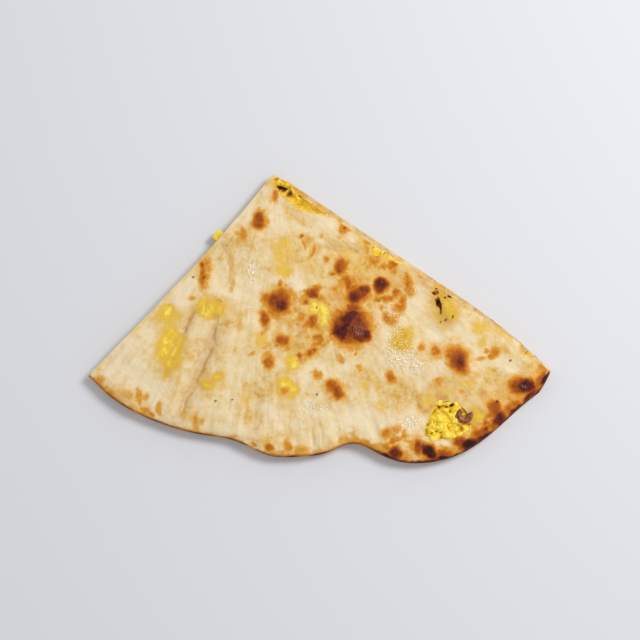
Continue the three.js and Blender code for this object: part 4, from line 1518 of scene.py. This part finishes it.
def shade_and_tint_level(skin):
    """Painted shade in folds and wrinkles and beside the laps; a darker tint in some stains and on the
    ledge along the right cut.
    """
    dull = np.zeros(len(skin.points))
    wavering = stirred(skin.points, 0.7, 3, 86)
    for path, width, value in SHADE_AND_TINT_LINES:
        dull = np.maximum(dull, value * bell(distance_to_path(wavering, path), width))
    uneven = smooth(0.9 + bumps(skin.points, 3, 68))
    # Painted shade beside each lap, where its step would shade the dough.
    for path, _, _ in LAPS:
        away = distance_to_path(at_laps(skin.points), path)
        dull = np.maximum(dull, (0.6 * bell(away, 0.7) + 0.42 * bell(away, 3.2)) * uneven)
    return np.maximum(dull * skin.upper, skin.ledge * (0.5 + 0.6 * bumps(skin.slanted, 1.7, 70)))


# %% Attributes of the bread
def set_attribute(piece, name, values):
    """Stores one number for each vertex, which a material can read by its name."""
    attribute = piece.data.attributes.new(name, "FLOAT", "POINT")
    attribute.data.foreach_set("value", np.asarray(values, np.float32))


def mark_bread(piece):
    skin = Skin(piece)
    crumb = crumb_level(skin)
    levels = {
        "brown": brown_level(skin) * (1 - crumb),
        "soot": soot_and_shadow_level(skin),
        "stain": stain_level(skin),
        "dull": shade_and_tint_level(skin),
        "tan": tan_level(skin),
        # Butter: real gloss, and a painted sheen on the colour.
        "wet": patch_level(stirred(skin.points, 1.2, 3, 91), BUTTER) * skin.upper,
        "crumb": crumb,
    }
    for name, values in levels.items():
        set_attribute(piece, name, values)
        print(name, "reaches", round(float(values.max()), 2))


mark_bread(bread)

# %% [markdown]
# The filling's colour is painted lighter on top of its lumps and amber in the crevices between
# them: a painted highlight and painted shade. How deep a point lies is measured against its
# surroundings: the heights of neighbouring vertices are averaged again and again, and what stays
# below that average is a crevice. A few bits are burnt.

# %% Attributes of the filling
# Burnt or dull bits of the filling, as rows of ovals.
BURNT_FILLING = [
    (52.7, 5.9, 3.4, 2.2, 1.3, -74), (-16.6, 57.7, 3.2, 1, 1.3, -24), (-13.6, 56, 2.2, 1, 1.3, -36),
    (-8.3, 54, 1.5, 0.7, 0.75, -20), (-14, 57, 7, 3.2, 0.3, -30), (-9.4, 49.2, 0.9, 0.8, 0.75),
    (-6.9, 47.8, 0.9, 0.9, 0.8), (-3, 46.1, 1.2, 0.8, 0.7, -30), (-8.3, 51, 4.2, 5.2, 0.25, -20),
    (-3, 49.5, 6.5, 3.4, 0.36, -35), (3, 45.5, 4, 1.5, 0.35, -35), (57.2, -38.6, 1.5, 1, 1.1, 45),
    (52.2, -39.5, 0.9, 0.8, 0.85), (54.7, -39.3, 1.3, 0.9, 0.75), (48.4, -50.9, 1.3, 0.7, 0.75, 30),
    (47, -46.6, 0.8, 1.6, 0.5, -25), (60.9, -48.9, 1.8, 0.9, 0.5, 10), (52, -40.8, 5, 2.2, 0.2),
    (63.5, -44.5, 3, 5, 0.3),
]


def crevice_depth(piece, rounds=14):
    """How far each vertex lies below the average height round it, in millimetres."""
    average = averager(piece)
    height = corners(piece)[:, 2]
    level = height
    for _ in range(rounds):
        level = average(level)
    return level - height


def mark_filling(piece):
    places = corners(piece)
    burnt = patch_level(stirred(places[:, :2], 0.4, 1.1, 95), BURNT_FILLING)
    set_attribute(piece, "burnt", burnt * smooth((places[:, 2] - 3) / 1.5))
    # The depth is used to paint shade in the crevices and highlights on the lumps.
    set_attribute(piece, "crevice", crevice_depth(piece))


mark_filling(filling)

# %% [markdown]
# ## Materials
#
# Shader maths reads best as plain formulas. A small class wraps a node's output, so that +,
# - and * on it add Math nodes, and one method adds any other node. Colours are given as a
# screen shows them, from 0 to 255, and turned into the linear numbers that a shader takes.

# %% Colours as seen
SHEEN = 0.014


def tone(red, green, blue):
    """The colour as seen, without the little light that the sheen of a surface adds to it."""
    parts = [part / 255 for part in (red, green, blue)]
    linear = [part / 12.92 if part <= 0.04045 else ((part + 0.055) / 1.055) ** 2.4 for part in parts]
    return [max(part - SHEEN, 0.002) for part in linear] + [1]


print("pale dough as a shader takes it:", [round(part, 2) for part in tone(235, 216, 180)])

# %% Shader formulas
class Level:
    """A number that varies over a surface: the output of a node."""

    def __init__(self, finish, socket):
        self.finish, self.socket = finish, socket

    def maths(self, operation, first, second, clamp=False):
        settings = {"operation": operation, "use_clamp": clamp}
        return self.finish.node("ShaderNodeMath", settings, {0: first, 1: second})

    def __add__(self, other):
        return self.maths("ADD", self, other)

    def __sub__(self, other):
        return self.maths("SUBTRACT", self, other)

    def __rsub__(self, other):
        return self.maths("SUBTRACT", other, self)

    def __mul__(self, other):
        return self.maths("MULTIPLY", self, other)

    __radd__ = __add__

    def clamped(self):
        return self.maths("ADD", self, 0, clamp=True)

    def between(self, low, high):
        """0 where the level is under low, 1 where it is over high, and smooth between."""
        settings = {"interpolation_type": "SMOOTHSTEP"}
        inputs = {"Value": self, "From Min": low, "From Max": high}
        return self.finish.node("ShaderNodeMapRange", settings, inputs)


# %% A material that is being made
class Finish:
    """A material that is being made."""

    def __init__(self, name):
        self.material = bpy.data.materials.new(name)
        self.material.use_nodes = True
        self.tree = self.material.node_tree
        self.tree.nodes.clear()
        self.place = self.node("ShaderNodeTexCoord", output="Object")

    def node(self, kind, settings=None, inputs=None, output=0):
        node = self.tree.nodes.new(kind)
        for name, value in (settings or {}).items():
            if name == "stops":
                self.set_stops(node.color_ramp, value)
            else:
                setattr(node, name, value)
        for name, value in (inputs or {}).items():
            if isinstance(value, Level):
                self.tree.links.new(value.socket, node.inputs[name])
            else:
                node.inputs[name].default_value = value
        return Level(self, node.outputs[output]) if node.outputs else node

    def set_stops(self, ramp, stops):
        while len(ramp.elements) < len(stops):
            ramp.elements.new(0.5)
        for element, (position, colour) in zip(ramp.elements, stops):
            element.position = position
            element.color = colour

    def attribute(self, name):
        return self.node("ShaderNodeAttribute", {"attribute_name": name}, output="Fac")

    def noise(self, size, detail, roughness):
        """Soft noise between 0 and 1 whose bumps are about size millimetres wide."""
        inputs = {"Scale": 1 / (size * MM), "Detail": detail, "Roughness": roughness}
        inputs["Vector"] = self.place
        return self.node("ShaderNodeTexNoise", {}, inputs)

    def ramp(self, level, stops):
        return self.node("ShaderNodeValToRGB", {"stops": stops}, {"Fac": level})

    def blend(self, first, second, share):
        """Goes from the first colour to the second one."""
        inputs = {0: share, 6: first, 7: second}
        return self.node("ShaderNodeMix", {"data_type": "RGBA"}, inputs, output=2)

    def bump(self, height, depth, strength):
        inputs = {"Height": height, "Distance": depth * MM, "Strength": strength}
        return self.node("ShaderNodeBump", {}, inputs, "Normal")

    def surface(self, **inputs):
        """The surface shader. An underscore in a name stands for a space."""
        named = {name.replace("_", " "): value for name, value in inputs.items()}
        return self.node("ShaderNodeBsdfPrincipled", {}, named)

    def done(self, shader):
        self.node("ShaderNodeOutputMaterial", {}, {"Surface": shader})
        return self.material


# %% [markdown]
# Baked dough goes from cream over amber and brown to nearly black. The browning attribute
# gives the level, and noise at a few sizes breaks it up. Cut and torn dough is paler and
# rougher. The dough is nearly matt. Where butter lies on it, a second, glossy surface is mixed
# in, with a coarse bump: its small crests are what glints. One surface with a varying
# roughness would be simpler, but dry dough would then shine too.

# %% Colours of baked dough
CREAM = [
    (0.0, tone(235, 216, 180)),
    (0.4, tone(229, 202, 152)),
    (0.72, tone(219, 180, 110)),
    (1.0, tone(205, 155, 78)),
]

STAIN = [
    (0.00, tone(229, 200, 142)),
    (0.30, tone(226, 189, 106)),
    (0.50, tone(225, 184, 82)),
    (0.70, tone(229, 189, 66)),
    (0.88, tone(236, 201, 70)),
    (1.00, tone(244, 217, 100)),
]

BROWNING = [
    (0.00, tone(228, 199, 142)),
    (0.14, tone(224, 180, 106)),
    (0.28, tone(216, 153, 62)),
    (0.42, tone(197, 120, 30)),
    (0.55, tone(170, 90, 20)),
    (0.70, tone(134, 64, 24)),
    (0.84, tone(93, 42, 24)),
    (1.00, tone(54, 28, 22)),
]

TORN_PALE = tone(243, 224, 184)
TORN_DEEP = tone(208, 180, 134)
# The colour of painted shade in folds and creases, and of a darker tint in some stains.
SHADE_AND_TINT_COLOUR = tone(189, 136, 58)
# Soot, and painted shadow along the right cut's step.
SOOT_AND_SHADOW = tone(52, 25, 10)
DRY_ROUGHNESS = 0.72
BUTTER_ROUGHNESS = 0.16
# Glints of butter are warm.
BUTTER_TINT = (1, 0.8, 0.68, 1)

# %% The dough's colour, layer over layer
def dough_colour(finish, broad, patchy, fine, grain):
    """Cream, then torn dough, yellow stains, painted shade of folds with a darker tint, browning, and
    soot with painted shadow over one another. Under butter the cream is painted paler, a painted sheen.
    """
    brown, soot, stain, tan, dull, wet, crumb = (
        finish.attribute(name) for name in ("brown", "soot", "stain", "tan", "dull", "wet", "crumb"))
    warmth = tan * (0.4 + patchy * 1.2) + (broad - 0.5) * 0.9 + (patchy - 0.5) * 1.2
    # Under butter the cream is painted paler: a painted sheen.
    warmth = warmth + (fine - 0.5) * 0.6 + 0.24 - wet * 0.25
    torn = finish.blend(TORN_PALE, TORN_DEEP, (fine + patchy * 0.5 - 0.25).clamped())
    base = finish.blend(finish.ramp(warmth.clamped(), CREAM), torn, crumb)
    curd = stain * (0.5 + patchy) + (fine - 0.5) * 1.3 * stain
    base = finish.blend(base, finish.ramp(curd.clamped(), STAIN), curd.between(0.0, 0.45))
    # Painted shade in folds, creases and beside laps, and a darker tint in some stains and on the
    # ledge.
    base = finish.blend(base, SHADE_AND_TINT_COLOUR, dull * (0.4 + fine * 0.6))
    flecks = finish.noise(2.2, 3, 0.55).between(0.53, 0.7)
    browned = brown * (0.72 + patchy * 0.56) + flecks * (0.03 + tan * 0.1) + (patchy - 0.5) * 0.14
    browned = browned + (grain - 0.5) * 0.1 + (fine - 0.5) * 0.24 * brown.between(0.02, 0.35)
    browned = browned - curd.between(0.5, 0.9) * 0.14
    covered = browned.between(0.05, 0.26) * (1 - crumb)
    base = finish.blend(base, finish.ramp(browned.clamped(), BROWNING), covered)
    # Soot specks, and painted shadow in the step along the right cut.
    return finish.blend(base, SOOT_AND_SHADOW, soot)


# %% Baked dough
def baked_dough():
    finish = Finish("baked dough")
    broad = finish.noise(14, 3, 0.6)
    patchy = finish.noise(4, 4, 0.6)
    fine = finish.noise(1.3, 3, 0.6)
    grain = finish.noise(0.5, 2, 0.5)
    base = dough_colour(finish, broad, patchy, fine, grain)
    dry = finish.surface(
        Base_Color=base,
        Roughness=DRY_ROUGHNESS,
        Specular_IOR_Level=0.25,
        Normal=finish.bump(fine * 0.6 + grain * 0.4 + patchy * 0.8, 0.35, 0.6),
    )
    glossy = finish.surface(
        Base_Color=base,
        Roughness=BUTTER_ROUGHNESS,
        Specular_IOR_Level=0.9,
        Specular_Tint=BUTTER_TINT,
        Normal=finish.bump(finish.noise(1.0, 1, 0.5) + patchy, 0.75, 1.0),
    )
    spread = (finish.attribute("wet") + (patchy - 0.5) * 0.9).between(0.25, 0.8)
    return finish.done(finish.node("ShaderNodeMixShader", {}, {0: spread * 0.9, 1: dry, 2: glossy}))


def coat(piece, material):
    piece.data.materials.clear()
    piece.data.materials.append(material)


coat(bread, baked_dough())
print("baked dough has", len(bread.data.materials[0].node_tree.nodes), "nodes")

# %% [markdown]
# The filling is a bright yellow mash, with paler and deeper crumbs at random, painted highlights
# on their tops and painted shade between them. The onion is purple-brown, with paler streaks
# along its layers, and wet.

# %% Yellow filling and red onion
# From painted shade in the crevices, over the mash's own yellow, to painted highlight on the lumps.
MASH = [
    (0.05, tone(190, 130, 20)),
    (0.28, tone(214, 162, 26)),
    (0.45, tone(233, 192, 46)),
    (0.65, tone(243, 211, 62)),
    (0.95, tone(250, 229, 110)),
]
BURNT_MASH = [(0.35, tone(196, 140, 30)), (0.6, tone(140, 78, 26)), (0.95, tone(40, 18, 10))]
ONION = [(0.3, tone(104, 46, 36)), (0.5, tone(140, 76, 52)), (0.7, tone(176, 116, 80))]


def mash():
    finish = Finish("yellow mash")
    burnt, crevice = finish.attribute("burnt"), finish.attribute("crevice")
    patchy = finish.noise(3.2, 3, 0.6)
    fine = finish.noise(0.9, 3, 0.6)
    # Painted light: darker in crevices and paler on the lumps, with random tone, and burnt bits darker.
    light = 0.56 - crevice * 0.9 + (patchy - 0.5) * 0.7 + (fine - 0.5) * 0.7 - burnt * 0.9
    charred = burnt + (fine - 0.5) * 0.3
    burnt_colour = finish.ramp(charred.clamped(), BURNT_MASH)
    colour = finish.ramp(light.clamped(), MASH)
    return finish.done(finish.surface(
        Base_Color=finish.blend(colour, burnt_colour, charred.between(0.3, 0.6)),
        Roughness=0.38 + burnt.clamped() * 0.5,
        Specular_IOR_Level=0.35,
        Normal=finish.bump(fine, 0.25, 0.6),
    ))


def cooked_onion():
    finish = Finish("cooked red onion")
    layers = finish.noise(0.8, 2, 0.5)
    return finish.done(finish.surface(
        Base_Color=finish.ramp(layers, ONION),
        Roughness=0.3,
        Specular_IOR_Level=0.5,
        Normal=finish.bump(layers, 0.15, 0.5),
    ))


coat(filling, mash())
onion = cooked_onion()
for piece in slices:
    coat(piece, onion)


print("finishes:", [piece.data.materials[0].name for piece in (bread, filling, *slices)])

# %% Smooth shading
SHARPEST_SMOOTH = math.radians(50)
for piece in [bread, filling, *slices]:
    pick(piece)
    bpy.ops.object.shade_smooth_by_angle(angle=SHARPEST_SMOOTH)

# %% [markdown]
# ## In place of the imported parts
#
# Each piece rides on the body and hides the imported part it stands for.

# %% Pieces and parts
for piece, node, slot in [
    (bread, "bread", "baked_dough"),
    (filling, "filling", "yellow_filling"),
    (slices[0], "onion_slice_1", "red_onion"),
    (slices[1], "onion_slice_2", "red_onion"),
]:
    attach(piece, "root")
    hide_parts(node)
    print(piece.name, "stands for", node)

# %% [markdown]
# ## Floor, light and camera
#
# The floor is plain and pale. One large soft light stands to the upper right, and a white
# surrounding fills the shadows, so colours come out as given. The camera looks almost
# straight down, a little from the rim's side.

# %% Floor
FLOOR_SIZE = 3.0
FLOOR_GAP = 0.0002
bpy.ops.mesh.primitive_plane_add(size=FLOOR_SIZE, location=(0, 0, cad_box[0].z - FLOOR_GAP))
floor = bpy.context.object
floor.name = "floor"
floor.data.transform(floor.matrix_world)
floor.matrix_world = Matrix.Identity(4)
floor_finish = Finish("pale floor")
pale = floor_finish.surface(Base_Color=tone(219, 220, 225), Roughness=0.9, Specular_IOR_Level=0.25)
coat(floor, floor_finish.done(pale))
print("the floor lies", FLOOR_GAP / MM, "mm below the bread")

# %% Light
# In metres and watts.
KEY_PLACE = Vector((0.55, 0.35, 0.80))
KEY_SIZE = 0.32
KEY_POWER = 6.6
SURROUNDING = 0.585


def aim(thing, target):
    thing.rotation_euler = (Vector(target) - thing.location).to_track_quat("-Z", "Y").to_euler()


key = bpy.data.objects.new("key", bpy.data.lights.new("key", "AREA"))
bpy.context.scene.collection.objects.link(key)
key.data.size = KEY_SIZE
key.data.energy = KEY_POWER
key.location = KEY_PLACE
aim(key, (0, 0, 0))

world = bpy.data.worlds.new("surrounding")
world.use_nodes = True
background = world.node_tree.nodes["Background"].inputs
background["Color"].default_value = (1, 1, 1, 1)
background["Strength"].default_value = SURROUNDING
bpy.context.scene.world = world
bpy.context.scene.view_settings.view_transform = "Standard"
print("the light is", round(KEY_PLACE.length, 2), "m away")

# %% Camera
# Lens and sensor in millimetres; the width of the picture at the wedge in metres.
LENS = 85
SENSOR = 36
FIELD = 0.2803
ELEVATION = math.radians(84)
LOOK_AT = Vector((0.0002, -0.0011, 0.006))

camera = bpy.data.objects.new("camera", bpy.data.cameras.new("camera"))
bpy.context.scene.collection.objects.link(camera)
camera.data.lens = LENS
camera.data.sensor_width = SENSOR
camera.data.clip_start = 0.01
distance = FIELD * LENS / SENSOR
camera.location = LOOK_AT + distance * Vector((0, -math.cos(ELEVATION), math.sin(ELEVATION)))
aim(camera, LOOK_AT)
bpy.context.scene.camera = camera
print("the camera is", round(distance, 3), "m away")
